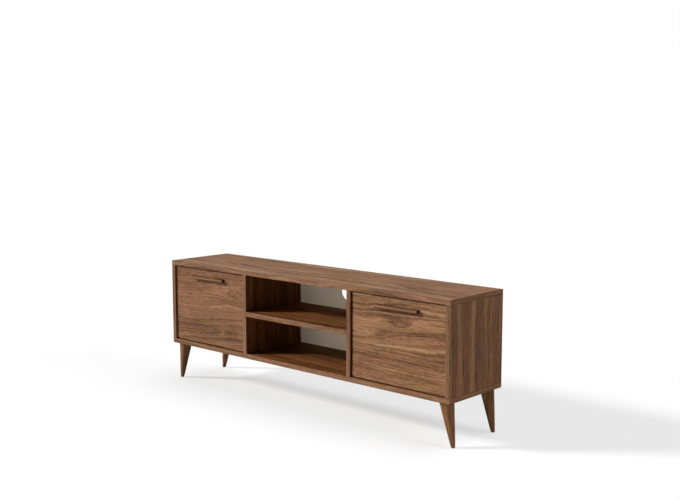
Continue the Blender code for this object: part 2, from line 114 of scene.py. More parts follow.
# --- Node trees ----------------------------------------------------------------------------------
class NodeSheet:
    """Writes one node tree, a node at a time."""

    def __init__(self, tree: NodeTree) -> None:
        """Keeps the tree that the nodes go into.

        Args:
            tree: A shader or geometry node tree.
        """
        self.tree = tree

    def node(self, kind: str, inputs: dict | None = None, **settings: object) -> Node:
        """Adds a node.

        Args:
            kind: The node's type name.
            inputs: Constants or output sockets, by the input's name or index.
            settings: The node's own properties.

        Returns:
            The new node.
        """
        made = self.tree.nodes.new(kind)
        for key, value in settings.items():
            setattr(made, key, value)
        for key, value in (inputs or {}).items():
            if isinstance(value, NodeSocket):
                self.tree.links.new(value, made.inputs[key])
            else:
                made.inputs[key].default_value = value
        return made

    def math(self, operation: str, first: Number, second: Number = 0.0) -> NodeSocket:
        """One sum on two numbers.

        Args:
            operation: A Math node operation.
            first: The first number or socket.
            second: The second number or socket.

        Returns:
            The result's socket.
        """
        return self.node("ShaderNodeMath", {0: first, 1: second}, operation=operation).outputs[0]

    def total(self, *terms: tuple[Number, float]) -> NodeSocket:
        """Adds up sockets, each times its own share.

        Args:
            terms: Pairs of a socket or number and the share that multiplies it.

        Returns:
            The sum's socket.
        """
        result: Number = 0.0
        for value, share in terms:
            result = self.node(
                "ShaderNodeMath", {0: value, 1: share, 2: result}, operation="MULTIPLY_ADD"
            ).outputs[0]
        return result

    def vector(self, operation: str, first: object, second: object) -> NodeSocket:
        """One sum on two vectors.

        Args:
            operation: A Vector Math node operation.
            first: The first vector or socket.
            second: The second vector or socket.

        Returns:
            The result's socket, a number for a dot product.
        """
        made = self.node("ShaderNodeVectorMath", {0: first, 1: second}, operation=operation)
        return made.outputs["Value" if operation == "DOT_PRODUCT" else "Vector"]

    def span(self, value: Number, low: float, high: float) -> NodeSocket:
        """Stretches low..high to 0..1, and holds it there beyond.

        Args:
            value: The number to stretch.
            low: What becomes 0.
            high: What becomes 1.

        Returns:
            The result's socket.
        """
        return self.node("ShaderNodeMapRange", {0: value, 1: low, 2: high}).outputs[0]

    def noise(
        self,
        place: object,
        rate: float | tuple[float, float, float],
        detail: float = 2.0,
        roughness: float = 0.5,
    ) -> NodeSocket:
        """Smooth noise in three dimensions, centred on zero.

        Args:
            place: Where to read it.
            rate: Bumps per metre, as one number or as one for each axis.
            detail: How many finer layers it has.
            roughness: How strong the finer layers are.

        Returns:
            The noise's socket, about -0.5 to 0.5.
        """
        rates = rate if isinstance(rate, tuple) else (rate, rate, rate)
        inputs = {"Vector": self.vector("MULTIPLY", place, rates), "Scale": 1.0}
        inputs |= {"Detail": detail, "Roughness": roughness}
        made = self.node("ShaderNodeTexNoise", inputs)
        return self.math("SUBTRACT", made.outputs[0], 0.5)

    def line_noise(self, value: Number, detail: float = 2.0) -> NodeSocket:
        """Noise along a single number, centred on zero: the widths of rings and bands.

        Args:
            value: The number that it follows.
            detail: How many finer layers it has.

        Returns:
            The noise's socket, about -0.5 to 0.5.
        """
        made = self.node(
            "ShaderNodeTexNoise",
            {"W": value, "Scale": 1.0, "Detail": detail, "Roughness": 0.55},
            noise_dimensions="1D",
        )
        return self.math("SUBTRACT", made.outputs[0], 0.5)

    def ramp(self, factor: Number, *stops: tuple[float, Colour]) -> NodeSocket:
        """Turns a number into a colour.

        Args:
            factor: The number.
            stops: Pairs of a place from 0 to 1 and the colour there.

        Returns:
            The colour's socket.
        """
        made = self.node("ShaderNodeValToRGB", {0: factor})
        band = made.color_ramp.elements
        while len(band) < len(stops):
            band.new(0.5)
        for element, (place, colour) in zip(band, stops):
            element.position = place
            element.color = (*colour, 1.0)
        return made.outputs[0]

    def blend(
        self, factor: Number, first: object, second: object, mode: str = "MIX"
    ) -> NodeSocket:
        """Mixes two colours.

        Args:
            factor: How much of the second one.
            first: The first colour or socket.
            second: The second colour or socket.
            mode: The Mix node's blending mode.

        Returns:
            The colour's socket.
        """
        first, second = ((*c, 1.0) if isinstance(c, tuple) else c for c in (first, second))
        inputs = {0: factor, 6: first, 7: second}
        return self.node("ShaderNodeMix", inputs, data_type="RGBA", blend_type=mode).outputs[2]

    def bump(self, height: Number, strength: float, distance: float) -> NodeSocket:
        """A normal that follows a height.

        Args:
            height: The surface's height, 0 to 1.
            strength: The node's strength.
            distance: What a height of 1 stands for, in metres.

        Returns:
            The normal's socket.
        """
        inputs = {"Strength": strength, "Distance": distance, "Height": height}
        return self.node("ShaderNodeBump", inputs).outputs[0]


def node_group(
    name: str, kind: str, inputs: dict[str, str], outputs: dict[str, str]
) -> tuple[NodeSheet, Node, Node]:
    """A new node group with its sockets.

    Args:
        name: The group's name.
        kind: The tree's type name.
        inputs: Input names with their socket types.
        outputs: Output names with their socket types.

    Returns:
        The sheet that writes the group, its input node and its output node.
    """
    tree = bpy.data.node_groups.new(name, kind)
    for direction, sockets in (("INPUT", inputs), ("OUTPUT", outputs)):
        for socket, form in sockets.items():
            tree.interface.new_socket(socket, in_out=direction, socket_type=f"NodeSocket{form}")
    sheet = NodeSheet(tree)
    return sheet, sheet.node("NodeGroupInput"), sheet.node("NodeGroupOutput")


# --- Finishes ------------------------------------------------------------------------------------
class MaterialSheet(NodeSheet):
    """Writes one material round a Principled shader."""

    def __init__(self, name: str) -> None:
        """Starts an empty material.

        Args:
            name: The material's name.
        """
        self.material = bpy.data.materials.new(name)
        self.material.use_nodes = True
        super().__init__(self.material.node_tree)
        self.shader = self.tree.nodes["Principled BSDF"]

    def place(self) -> NodeSocket:
        """The point on the piece, in metres."""
        return self.node("ShaderNodeTexCoord").outputs["Object"]

    def wear(self) -> NodeSocket:
        """The share of rounded edge that the mesh carries: rubbed on metal and plastic, a dark line
        with painted shade on wood.
        """
        return self.node("ShaderNodeAttribute", attribute_name=ROUNDED_EDGE).outputs["Fac"]

    def finish(self, **inputs: object) -> Material:
        """Sets the shader's inputs.

        Args:
            inputs: Sockets or constants, by input name with _ for a space.

        Returns:
            The finished material.
        """
        for key, value in inputs.items():
            socket = self.shader.inputs[key.replace("_", " ")]
            if isinstance(value, NodeSocket):
                self.tree.links.new(value, socket)
            else:
                socket.default_value = value
        return self.material


@dataclass(frozen=True)
class Eye:
    """A knot, swirl or streak in a board's figure.

    Fields:
        along: Its place along the grain.
        across: Its place across the grain.
        reach: Half its length.
        spread: Half its width.
        lift: How far it pushes the growth rings aside, in metres; more than its spread closes
            them into loops.
        shade: How much darker it is than the board, below 0 for lighter.
        warmth: How much redder it is.
    """

    along: float
    across: float
    reach: float
    spread: float
    lift: float = 0.0
    shade: float = 0.0
    warmth: float = 0.0


@cache
def eye_group() -> NodeTree:
    """The group that reads one eye.

    Returns:
        The node group, made once.
    """
    inputs = {"Grain": "Vector", "Place": "Vector", "Narrowness": "Vector"}
    amounts = ("Lift", "Shade", "Warmth")
    floats = {amount: "Float" for amount in amounts}
    sheet, entry, result = node_group(
        "figure_eye", "ShaderNodeTree", inputs | floats, floats
    )
    offset = sheet.vector("SUBTRACT", entry.outputs["Grain"], entry.outputs["Place"])
    scaled = sheet.vector("MULTIPLY", offset, entry.outputs["Narrowness"])
    square = sheet.vector("DOT_PRODUCT", scaled, scaled)
    hill = sheet.math("EXPONENT", sheet.math("MULTIPLY", square, -1.0))
    for amount in amounts:
        product = sheet.math("MULTIPLY", hill, entry.outputs[amount])
        sheet.tree.links.new(product, result.inputs[amount])
    return sheet.tree


@cache
def figure_group() -> NodeTree:
    """The group that draws walnut figure: wandering growth rings, bands, fibres and pores.

    Returns:
        The node group, made once.
    """
    inputs = {"Grain": "Vector", "Lift": "Float", "Shade": "Float", "Warmth": "Float"}
    inputs["Contrast"] = "Float"
    outputs = {"Color": "Color", "Roughness": "Float", "Height": "Float"}
    sheet, entry, result = node_group("walnut_figure", "ShaderNodeTree", inputs, outputs)
    grain = entry.outputs["Grain"]

    def streaks(along: float, across: float, detail: float = 2.0) -> NodeSocket:
        """Noise stretched along the grain, with so many bumps per metre each way."""
        return sheet.noise(grain, (along, across, across), detail)

    parts = sheet.node("ShaderNodeSeparateXYZ", {0: grain}).outputs
    layer = sheet.total(
        (parts[1], 1.0),
        (parts[2], 0.4),
        (streaks(1.4, 6.0), 0.13),
        (streaks(9.0, 34.0), 0.014),
        (streaks(34.0, 120.0), 0.005),
        (entry.outputs["Lift"], 1.0),
    )
    bands = sheet.line_noise(sheet.math("MULTIPLY", layer, 34.0), 2.0)
    rings = sheet.line_noise(sheet.math("MULTIPLY", layer, 120.0), 3.0)
    lines = streaks(7.0, 240.0, 3.0)
    flecks = streaks(32.0, 190.0, 4.0)
    ticks = streaks(95.0, 430.0, 2.0)
    fibres = streaks(40.0, 1500.0)
    clouds = streaks(5.0, 17.0, 3.0)
    pores = sheet.span(streaks(70.0, 2300.0), 0.13, 0.24)
    figure = sheet.total(
        (bands, 0.62),
        (rings, 0.78),
        (lines, 0.34),
        (flecks, 0.44),
        (ticks, 0.42),
        (fibres, 0.35),
        (clouds, 0.38),
    )
    tone = sheet.total((0.5, 1.0), (entry.outputs["Shade"], -1.0))
    tone = sheet.math("ADD", tone, sheet.math("MULTIPLY", figure, entry.outputs["Contrast"]))
    colour = sheet.ramp(
        tone,
        (0.05, (0.052, 0.020, 0.006)),
        (0.30, (0.137, 0.058, 0.021)),
        (0.50, (0.235, 0.107, 0.046)),
        (0.70, (0.325, 0.165, 0.080)),
        (0.95, (0.430, 0.246, 0.133)),
    )
    warmth = sheet.total((streaks(4.0, 19.0, 3.0), 1.6), (entry.outputs["Warmth"], 1.0), (0.5, 1.0))
    hue = sheet.ramp(warmth, (0.2, (0.98, 1.02, 0.90)), (0.8, (1.04, 0.97, 1.02)))
    colour = sheet.blend(1.0, colour, hue, "MULTIPLY")
    colour = sheet.blend(sheet.math("MULTIPLY", pores, 0.45), colour, (0.05, 0.020, 0.009))
    links = {
        "Color": colour,
        "Roughness": sheet.total((0.55, 1.0), (fibres, 0.16), (rings, 0.12), (pores, 0.12)),
        "Height": sheet.total((0.6, 1.0), (fibres, 0.5), (rings, 0.25), (pores, -0.5)),
    }
    for socket, value in links.items():
        sheet.tree.links.new(value, result.inputs[socket])
    return sheet.tree


@dataclass(frozen=True)
class Walnut:
    """A walnut-effect finish, its grain lying along one axis of the piece.

    Fields:
        name: The material's name.
        along: The grain's direction.
        across: Across the grain, on the piece's widest face.
        seed: Where in the pattern this piece was cut.
        slope: How far the grain wanders across, for each metre along.
        contrast: How strongly the figure shows.
        tint: What the colour is multiplied by.
        gloss: Its specular level.
        eyes: The knots, swirls and streaks of the piece.
    """

    name: str
    along: Axis
    across: Axis
    seed: float
    slope: float = 0.0
    contrast: float = 1.0
    tint: Colour = (1.0, 1.0, 1.0)
    gloss: float = 0.28
    eyes: tuple[Eye, ...] = ()

    def make(self) -> Material:
        """Builds the material.

        Returns:
            The material, darker along its rounded edges: partly a dark glue line, partly painted
            shade of the joints and gaps between boards.
        """
        sheet = MaterialSheet(self.name)
        parts = sheet.node("ShaderNodeSeparateXYZ", {0: sheet.place()}).outputs
        (depth,) = set(Axis) - {self.along, self.across}
        along, across, down = (parts[axis.value] for axis in (self.along, self.across, depth))
        across = sheet.total((across, 1.0), (along, -self.slope))
        grain = sheet.node("ShaderNodeCombineXYZ", {0: along, 1: across, 2: down}).outputs[0]
        sums: dict[str, Number] = {"Lift": 0.0, "Shade": 0.0, "Warmth": 0.0}
        for eye in self.eyes:
            straight = eye.across - self.slope * eye.along
            values = {
                "Grain": grain,
                "Place": (eye.along, straight, 0.0),
                "Narrowness": (1.0 / eye.reach, 1.0 / eye.spread, 0.0),
                "Lift": eye.lift,
                "Shade": eye.shade,
                "Warmth": eye.warmth,
            }
            group = sheet.node("ShaderNodeGroup", values, node_tree=eye_group())
            sums = {key: sheet.math("ADD", sums[key], group.outputs[key]) for key in sums}
        cut = sheet.vector("ADD", grain, (self.seed * 3.7, self.seed, self.seed * 1.9))
        values = {"Grain": cut, "Contrast": self.contrast, **sums}
        figure = sheet.node("ShaderNodeGroup", values, node_tree=figure_group())
        colour = sheet.blend(1.0, figure.outputs["Color"], self.tint, "MULTIPLY")
        # Painted shade, partly: the rounded edges are blended towards dark brown, which is partly
        # the dark glue line of the edging and partly painted shade of the joints and gaps between
        # boards.
        rubbed = sheet.math("MULTIPLY", sheet.wear(), 0.75)
        colour = sheet.blend(rubbed, colour, (0.070, 0.028, 0.009))
        return sheet.finish(
            Base_Color=colour,
            Roughness=figure.outputs["Roughness"],
            Normal=sheet.bump(figure.outputs["Height"], 0.3, 0.00025),
            Specular_IOR_Level=self.gloss,
        )


@dataclass(frozen=True)
class Metal:
    """A plated or lacquered metal finish.

    Fields:
        name: The material's name.
        colour: Its colour.
        worn: Its colour where an edge is rubbed.
        roughness: Its mean roughness.
        metallic: 1 for bare metal, less under a lacquer.
    """

    name: str
    colour: Colour
    worn: Colour
    roughness: float
    metallic: float = 1.0

    def make(self) -> Material:
        """Builds the material.

        Returns:
            The material.
        """
        sheet = MaterialSheet(self.name)
        place = sheet.place()
        fine = sheet.noise(place, 900.0, 3.0)
        slow = sheet.noise(place, 70.0)
        dull = tuple(0.72 * share for share in self.colour)
        stained = sheet.blend(sheet.span(slow, -0.15, 0.25), self.colour, dull)
        rubbed = sheet.math("MULTIPLY", sheet.wear(), sheet.span(fine, -0.15, 0.2))
        return sheet.finish(
            Base_Color=sheet.blend(rubbed, stained, self.worn),
            Metallic=self.metallic,
            Roughness=sheet.total((self.roughness, 1.0), (fine, 0.22), (slow, 0.2)),
            Normal=sheet.bump(fine, 0.25, 0.00006),
        )


@dataclass(frozen=True)
class Plastic:
    """A moulded plastic with a fine eroded grain.

    Fields:
        name: The material's name.
        colour: Its colour.
        roughness: Its mean roughness.
        see_through: How much light scatters below the surface.
    """

    name: str
    colour: Colour
    roughness: float
    see_through: float = 0.0

    def make(self) -> Material:
        """Builds the material.

        Returns:
            The material.
        """
        sheet = MaterialSheet(self.name)
        place = sheet.place()
        grain = sheet.noise(place, 2600.0)
        flow = sheet.noise(place, (60.0, 60.0, 160.0))
        pale = tuple(min(1.0, 1.25 * share + 0.02) for share in self.colour)
        colour = sheet.blend(sheet.span(flow, -0.3, 0.4), self.colour, pale)
        colour = sheet.blend(sheet.math("MULTIPLY", sheet.wear(), 0.5), colour, pale)
        return sheet.finish(
            Base_Color=colour,
            Roughness=sheet.total((self.roughness, 1.0), (grain, 0.2)),
            Normal=sheet.bump(grain, 0.3, 0.00008),
            Subsurface_Weight=self.see_through,
            Subsurface_Scale=0.002,
        )


@dataclass(frozen=True)
class PressedFibre:
    """Hardboard or chipboard: matted fibres or flakes of wood.

    Fields:
        name: The material's name.
        colour: Its colour.
        fleck: The colour of its darkest fibres.
        flakes: Bumps per metre: fewer for chipboard.
        fleck_share: How strongly the flecks show.
        screen: Ribs per metre of a mesh pressed into it, or 0 for none.
        roughness: Its mean roughness.
        mottle: How much paler its pale clouds are.
    """

    name: str
    colour: Colour
    fleck: Colour
    flakes: float
    fleck_share: float
    screen: float = 0.0
    roughness: float = 0.8
    mottle: float = 1.12

    def make(self) -> Material:
        """Builds the material.

        Returns:
            The material.
        """
        sheet = MaterialSheet(self.name)
        place = sheet.place()
        fibres = sheet.noise(place, self.flakes, 4.0, 0.65)
        clouds = sheet.noise(place, 9.0, 3.0)
        flecks = sheet.math("MULTIPLY", sheet.span(fibres, 0.0, 0.22), self.fleck_share)
        pale = tuple(self.mottle * share for share in self.colour)
        colour = sheet.blend(sheet.span(clouds, -0.25, 0.25), self.colour, pale)
        colour = sheet.blend(flecks, colour, self.fleck)
        height = sheet.total((0.5, 1.0), (fibres, 1.0))
        if self.screen:
            parts = sheet.node("ShaderNodeSeparateXYZ", {0: place}).outputs
            rate = 2.0 * math.pi * self.screen
            waves = [sheet.math("SINE", sheet.math("MULTIPLY", parts[i], rate)) for i in (0, 2)]
            height = sheet.total((height, 1.0), (sheet.math("MULTIPLY", *waves), 0.5))
        return sheet.finish(
            Base_Color=colour,
            Roughness=sheet.total((self.roughness, 1.0), (fibres, 0.2)),
            Normal=sheet.bump(height, 0.4, 0.00015),
            Specular_IOR_Level=0.3,
        )


# --- Figure of each board ------------------------------------------------------------------------
RIGHT_DOOR_EYES = (
    Eye(0.270, 0.3300, 0.120, 0.019, lift=0.062),  # the long tongue from the left edge
    Eye(0.4960, 0.3780, 0.062, 0.020, lift=0.024),  # the swirl below the handle
    Eye(0.5350, 0.3740, 0.034, 0.010, shade=0.09),
    Eye(0.4640, 0.3690, 0.020, 0.008, shade=0.05),
    Eye(0.4850, 0.3800, 0.024, 0.007, shade=-0.06),
    Eye(0.5850, 0.3590, 0.040, 0.005, shade=0.14),
    Eye(0.6480, 0.3990, 0.036, 0.004, shade=0.30),
    Eye(0.6500, 0.3810, 0.042, 0.005, shade=-0.12, warmth=-0.6),
    Eye(0.3550, 0.4050, 0.050, 0.007, shade=0.12),
    Eye(0.4200, 0.3100, 0.300, 0.024, shade=-0.07, warmth=-0.2),
    Eye(0.4100, 0.2600, 0.300, 0.013, shade=0.12),
    Eye(0.3300, 0.2890, 0.110, 0.008, shade=-0.12, warmth=-0.5),
    Eye(0.4400, 0.2250, 0.110, 0.005, shade=-0.16, warmth=0.3),
    Eye(0.3100, 0.2170, 0.050, 0.012, shade=0.12, warmth=0.4),
    Eye(0.6200, 0.2100, 0.090, 0.010, shade=0.12),
    Eye(0.3900, 0.1800, 0.110, 0.016, lift=0.026, warmth=0.3),
)
LEFT_DOOR_EYES = (
    Eye(-0.3180, 0.3880, 0.075, 0.020, lift=0.038, shade=-0.03),
    Eye(-0.3560, 0.3945, 0.018, 0.006, shade=0.20, warmth=0.4),
    Eye(-0.3320, 0.3820, 0.018, 0.006, shade=0.16),
    Eye(-0.3060, 0.3990, 0.018, 0.006, shade=0.14),
    Eye(-0.5000, 0.3300, 0.320, 0.026, shade=-0.07),
    Eye(-0.5000, 0.2380, 0.320, 0.036, shade=0.12),
    Eye(-0.4390, 0.2310, 0.030, 0.020, shade=0.10),
    Eye(-0.3560, 0.2280, 0.040, 0.020, shade=0.12),
    Eye(-0.3980, 0.2310, 0.014, 0.016, shade=-0.08),
    Eye(-0.4900, 0.4530, 0.060, 0.007, warmth=1.1),
    Eye(-0.3000, 0.4560, 0.060, 0.005, warmth=1.0, shade=0.05),
    Eye(-0.5800, 0.2560, 0.060, 0.012, shade=0.08),
    Eye(-0.5500, 0.1850, 0.140, 0.008, shade=-0.12),
)
RIGHT_END_EYES = (
    Eye(0.330, 0.012, 0.260, 0.012, shade=0.16),
    Eye(0.255, -0.072, 0.038, 0.0035, shade=0.34),
    Eye(0.225, -0.002, 0.020, 0.003, shade=0.34),
    Eye(0.330, 0.048, 0.260, 0.014, shade=-0.08),
    Eye(0.330, 0.120, 0.300, 0.036, shade=0.08, warmth=0.5),
    Eye(0.380, -0.030, 0.120, 0.020, shade=-0.05),
)
TOP_EYES = (
    Eye(-0.30, -0.050, 0.160, 0.030, lift=0.030, shade=0.10, warmth=0.4),
    Eye(0.45, -0.060, 0.110, 0.022, lift=0.030, shade=0.06),
    Eye(0.25, 0.030, 0.200, 0.020, shade=-0.07),
    Eye(-0.58, -0.040, 0.090, 0.010, shade=-0.10, warmth=0.8),
)


def walnut_finishes() -> dict[str, Walnut]:
    """The walnut finish of every board, leg and rail.

    Returns:
        The finishes, by the name of what they cover.
    """
    flat = {"along": Axis.X, "across": Axis.Y}
    front = {"along": Axis.X, "across": Axis.Z}
    upright = {"along": Axis.Z, "across": Axis.Y}
    # Painted shade: the boards inside the bays (bottom panel, shelf and dividers) are tinted darker
    # and redder and given little sheen, to stand in for the shade inside the bays.
    inner = {"tint": (0.80, 0.66, 0.46), "gloss": 0.03}
    band = {"contrast": 0.8, "tint": (0.93, 0.95, 1.04)}
    # Painted sheen: the top panel is tinted paler and bluer, to stand in for the sheen of the light
    # falling on it.
    top = {"seed": 1.3, "contrast": 1.3, "tint": (1.03, 1.11, 1.26)}
    left_door = {"seed": 3.4, "slope": 0.03, "contrast": 1.15}
    right_door = {"seed": 9.2, "slope": 0.02, "contrast": 1.25}
    made = [
        Walnut("walnut_top_panel", **flat, **top, eyes=TOP_EYES),
        Walnut("walnut_bottom_panel", **flat, seed=4.1, **inner),
        Walnut("walnut_middle_shelf", **flat, seed=7.7, **inner),
        Walnut("walnut_left_side_panel", **upright, seed=2.9),
        Walnut("walnut_right_side_panel", **upright, seed=5.3, eyes=RIGHT_END_EYES),
        Walnut("walnut_left_divider", **upright, seed=6.1, **inner),
        Walnut("walnut_right_divider", **upright, seed=8.6, **inner),
        Walnut("walnut_left_door_panel", **front, **left_door, eyes=LEFT_DOOR_EYES),
        Walnut("walnut_right_door_panel", **front, **right_door, eyes=RIGHT_DOOR_EYES),
        Walnut("walnut_front_band", **front, seed=14.2, **band),
        Walnut("walnut_upright_band", Axis.Z, Axis.X, seed=15.7, **band),
        Walnut("walnut_end_band", Axis.Y, Axis.Z, seed=11.4, contrast=0.8),
        Walnut("walnut_leg", **upright, seed=10.5, tint=(0.92, 0.87, 0.76)),
        Walnut("walnut_rail", **front, seed=13.6, contrast=0.7, tint=(0.95, 0.94, 0.96)),
        Walnut("walnut_rail_edge", Axis.X, Axis.Y, seed=16.9, tint=(0.24, 0.17, 0.10), gloss=0.10),
    ]
    return {finish.name.removeprefix("walnut_"): finish for finish in made}


ZINC = Metal("zinc_steel", (0.56, 0.56, 0.57), (0.72, 0.71, 0.69), 0.34)
BRONZE = Metal("dark_bronze", (0.040, 0.022, 0.012), (0.16, 0.09, 0.045), 0.40, 0.75)
BRASS = Metal("insert_brass", (0.70, 0.50, 0.21), (0.82, 0.64, 0.33), 0.30)
POLE_PLATE = Metal("magnet", (0.13, 0.13, 0.14), (0.40, 0.40, 0.42), 0.30)
NYLON = Plastic("nylon", (0.70, 0.68, 0.60), 0.5, 0.15)
BROWN_PLASTIC = Plastic("brown_plastic", (0.085, 0.048, 0.030), 0.46)
CHIPBOARD = PressedFibre("raw_chipboard", (0.42, 0.29, 0.17), (0.20, 0.12, 0.06), 420.0, 0.7)
BACK_INSIDE = PressedFibre(
    "grey_hardboard", (0.74, 0.64, 0.53), (0.58, 0.50, 0.41), 900.0, 0.25, roughness=0.62
)
BACK_OUTSIDE = PressedFibre(
    "raw_hardboard",
    (0.225, 0.134, 0.074),
    (0.10, 0.052, 0.025),
    620.0,
    0.8,
    screen=420.0,
    mottle=1.35,
)


class Palette:
    """Makes each finish once, and hands it out by name."""

    def __init__(self) -> None:
        """Gathers the finishes; none is built yet."""
        self.walnut = walnut_finishes()
        self.made: dict[str, Material] = {}

    def get(self, finish: Walnut | Metal | Plastic | PressedFibre) -> Material:
        """The material of a finish.

        Args:
            finish: Any finish.

        Returns:
            Its material, built on the first call.
        """
        if finish.name not in self.made:
            self.made[finish.name] = finish.make()
        return self.made[finish.name]

    def wood(self, name: str) -> Material:
        """The walnut material of a named board, leg, rail or band."""
        return self.get(self.walnut[name])


# --- Meshes --------------------------------------------------------------------------------------
@dataclass(frozen=True)
class Box:
    """The lowest and highest corner of a CAD node."""

    low: Vector
    high: Vector

    @classmethod
    def of(cls, node: str) -> "Box":
        """The box of a node at rest."""
        return cls(*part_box(node))

    @property
    def centre(self) -> Vector:
        """The middle of the box."""
        return (self.low + self.high) / 2

    @property
    def size(self) -> Vector:
        """The box's three edge lengths."""
        return self.high - self.low

    def entry(self, direction: Vector) -> Vector:
        """The middle of the end face that a line along X, in this direction, meets first."""
        x = self.low.x if direction.x > 0.0 else self.high.x
        return Vector((x, self.centre.y, self.centre.z))


def link(name: str, mesh: Mesh, *looks: Material) -> Object:
    """Puts a mesh into the scene.

    Args:
        name: The piece's name.
        mesh: Its mesh, already in place.
        looks: Its materials, in slot order.

    Returns:
        The new object, at the origin.
    """
    made = bpy.data.objects.new(name, mesh)
    bpy.context.scene.collection.objects.link(made)
    for look in looks:
        mesh.materials.append(look)
    return made


def evaluated(made: Object) -> Mesh:
    """The mesh of an object with its modifiers applied.

    Args:
        made: An object in the scene.

    Returns:
        A new plain mesh.
    """
    graph = bpy.context.evaluated_depsgraph_get()
    return bpy.data.meshes.new_from_object(made.evaluated_get(graph), depsgraph=graph)


def settle(piece: Object, body: str, slot: str, *nodes: str) -> None:
    """Hangs a finished piece on its body, and reports it.

    Args:
        piece: The piece, already in place.
        body: The CAD body that it moves with.
        slot: The record's material slot that its finish comes from; it is not used.
        nodes: The CAD nodes that it stands for.
    """
    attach(piece, body)
    if nodes:
        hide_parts(*nodes)
    LOG.info("%s rides on %s, %d faces", piece.name, body, len(piece.data.polygons))


def shade(mesh: Mesh) -> None:
    """Smooths a mesh, but for its sharp edges."""
    mesh.shade_smooth()
    mesh.set_sharp_from_angle(angle=SHARP_ANGLE)


def new_builder() -> BMesh:
    """An empty mesh to build on, with room for the rounded-edge attribute."""
    builder = bmesh.new()
    builder.verts.layers.float.new(ROUNDED_EDGE)
    return builder


def mark_wear(builder: BMesh, chosen: Iterable[BMVert]) -> None:
    """Writes the rounded-edge attribute.

    Args:
        builder: The mesh being built, from new_builder.
        chosen: The points on rounded edges.
    """
    layer = builder.verts.layers.float[ROUNDED_EDGE]
    for point in chosen:
        point[layer] = 1.0


def welded(node: str) -> BMesh:
    """A copy of a CAD node, welded, with its flat faces whole.

    Args:
        node: The CAD node.

    Returns:
        The mesh, ready for more work.
    """
    builder = new_builder()
    builder.from_mesh(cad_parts[node].data)
    bmesh.ops.remove_doubles(builder, verts=builder.verts, dist=WELD)
    bmesh.ops.dissolve_limit(
        builder, angle_limit=FLAT_ANGLE, verts=builder.verts, edges=builder.edges
    )
    builder.normal_update()
    return builder


def eased_piece(node: str, edge: float, look: Material) -> Object:
    """A CAD node's shape with its sharp edges eased.

    Args:
        node: The CAD node, whose name the piece takes with _piece added.
        edge: The radius on its edges, or 0 to leave them.
        look: Its material.

    Returns:
        The new piece.
    """
    builder = welded(node)
    sharp = [e for e in builder.edges if e.is_manifold and e.calc_face_angle(0.0) > SHARP_ANGLE]
    worn: set[BMVert] = set()
    if edge:
        made = bmesh.ops.bevel(
            builder, geom=sharp, offset=edge, segments=3, profile=0.5, affect="EDGES"
        )
        rounding = set(made["faces"])
        flat = {v for f in builder.faces if f not in rounding for v in f.verts}
        worn = {v for f in rounding for v in f.verts} - flat
    mark_wear(builder, worn)
    mesh = bpy.data.meshes.new(f"{node}_piece")
    builder.to_mesh(mesh)
    builder.free()
    shade(mesh)
    return link(mesh.name, mesh, look)


def board_piece(
    node: str, thin: Axis, end: Axis, looks: Sequence[Material]
) -> Object:
    """A board, its faces, edges and ends each in their own finish.

    Args:
        node: The CAD node.
        thin: The axis of its thickness.
        end: The axis whose two faces carry the end band.
        looks: The material of its faces, its end bands, its back edge and its front band.

    Returns:
        The new piece.
    """
    builder = welded(node)
    flat = {f for f in builder.faces if max(abs(value) for value in f.normal) > STRAIGHT}
    corners = {v for f in flat for v in f.verts}
    # Its rounded edges are marked for the dark line of the wood: partly a glue line, partly painted
    # shade.
    mark_wear(builder, (v for v in builder.verts if v not in corners))
    for face in builder.faces:
        face.smooth = face not in flat
        normal = face.normal
        if abs(normal[end.value]) > MOSTLY and thin is not end:
            face.material_index = 1
        elif abs(normal.y) > MOSTLY and thin is not Axis.Y:
            face.material_index = 2 if normal.y > 0.0 else 3
    mesh = bpy.data.meshes.new(f"{node}_board")
    builder.to_mesh(mesh)
    builder.free()
    return link(mesh.name, mesh, *looks)


def turned_mesh(name: str, outline: Outline, facets: int, lean: float = 0.0) -> Mesh:
    """A turned shape round +Z.

    Args:
        name: The mesh's name.
        outline: (height, radius) points. One that starts at radius 0 is capped at both ends;
            any other is a closed loop, which makes a tube.
        facets: Faces in a ring.
        lean: How far each ring moves along X, for each metre of its height.

    Returns:
        The mesh, smooth but for its sharp edges.
    """
    builder = new_builder()
    rings: list[list[BMVert]] = []
    for height, radius in outline:
        middle = Vector((lean * height, 0.0, height))
        if radius == 0.0:
            rings.append([builder.verts.new(middle)])
            continue
        turns = [2.0 * math.pi * step / facets for step in range(facets)]
        rim = [middle + radius * Vector((math.cos(turn), math.sin(turn), 0.0)) for turn in turns]
        rings.append([builder.verts.new(point) for point in rim])
    capped = outline[0][1] == 0.0
    for lower, upper in zip(rings, rings[1:] if capped else rings[1:] + rings[:1]):
        for step in range(facets):
            after = (step + 1) % facets
            ends = [lower[step % len(lower)], lower[after % len(lower)]]
            ends += [upper[after % len(upper)], upper[step % len(upper)]]
            builder.faces.new(list(dict.fromkeys(ends)))
    bmesh.ops.recalc_face_normals(builder, faces=builder.faces)
    mesh = bpy.data.meshes.new(name)
    builder.to_mesh(mesh)
    builder.free()
    shade(mesh)
    return mesh


def arc(
    centre: tuple[float, float], radius: float, first: float, last: float, steps: int
) -> Outline:
    """Points on a round stretch of an outline.

    Args:
        centre: Its centre, as (height, radius).
        radius: Its own radius.
        first: The angle where it starts, in degrees from the height's axis.
        last: The angle where it ends.
        steps: How many faces it is split into.

    Returns:
        The points, both ends included.
    """
    turns = [math.radians(first + (last - first) * step / steps) for step in range(steps + 1)]
    return [(centre[0] + radius * math.cos(t), centre[1] + radius * math.sin(t)) for t in turns]


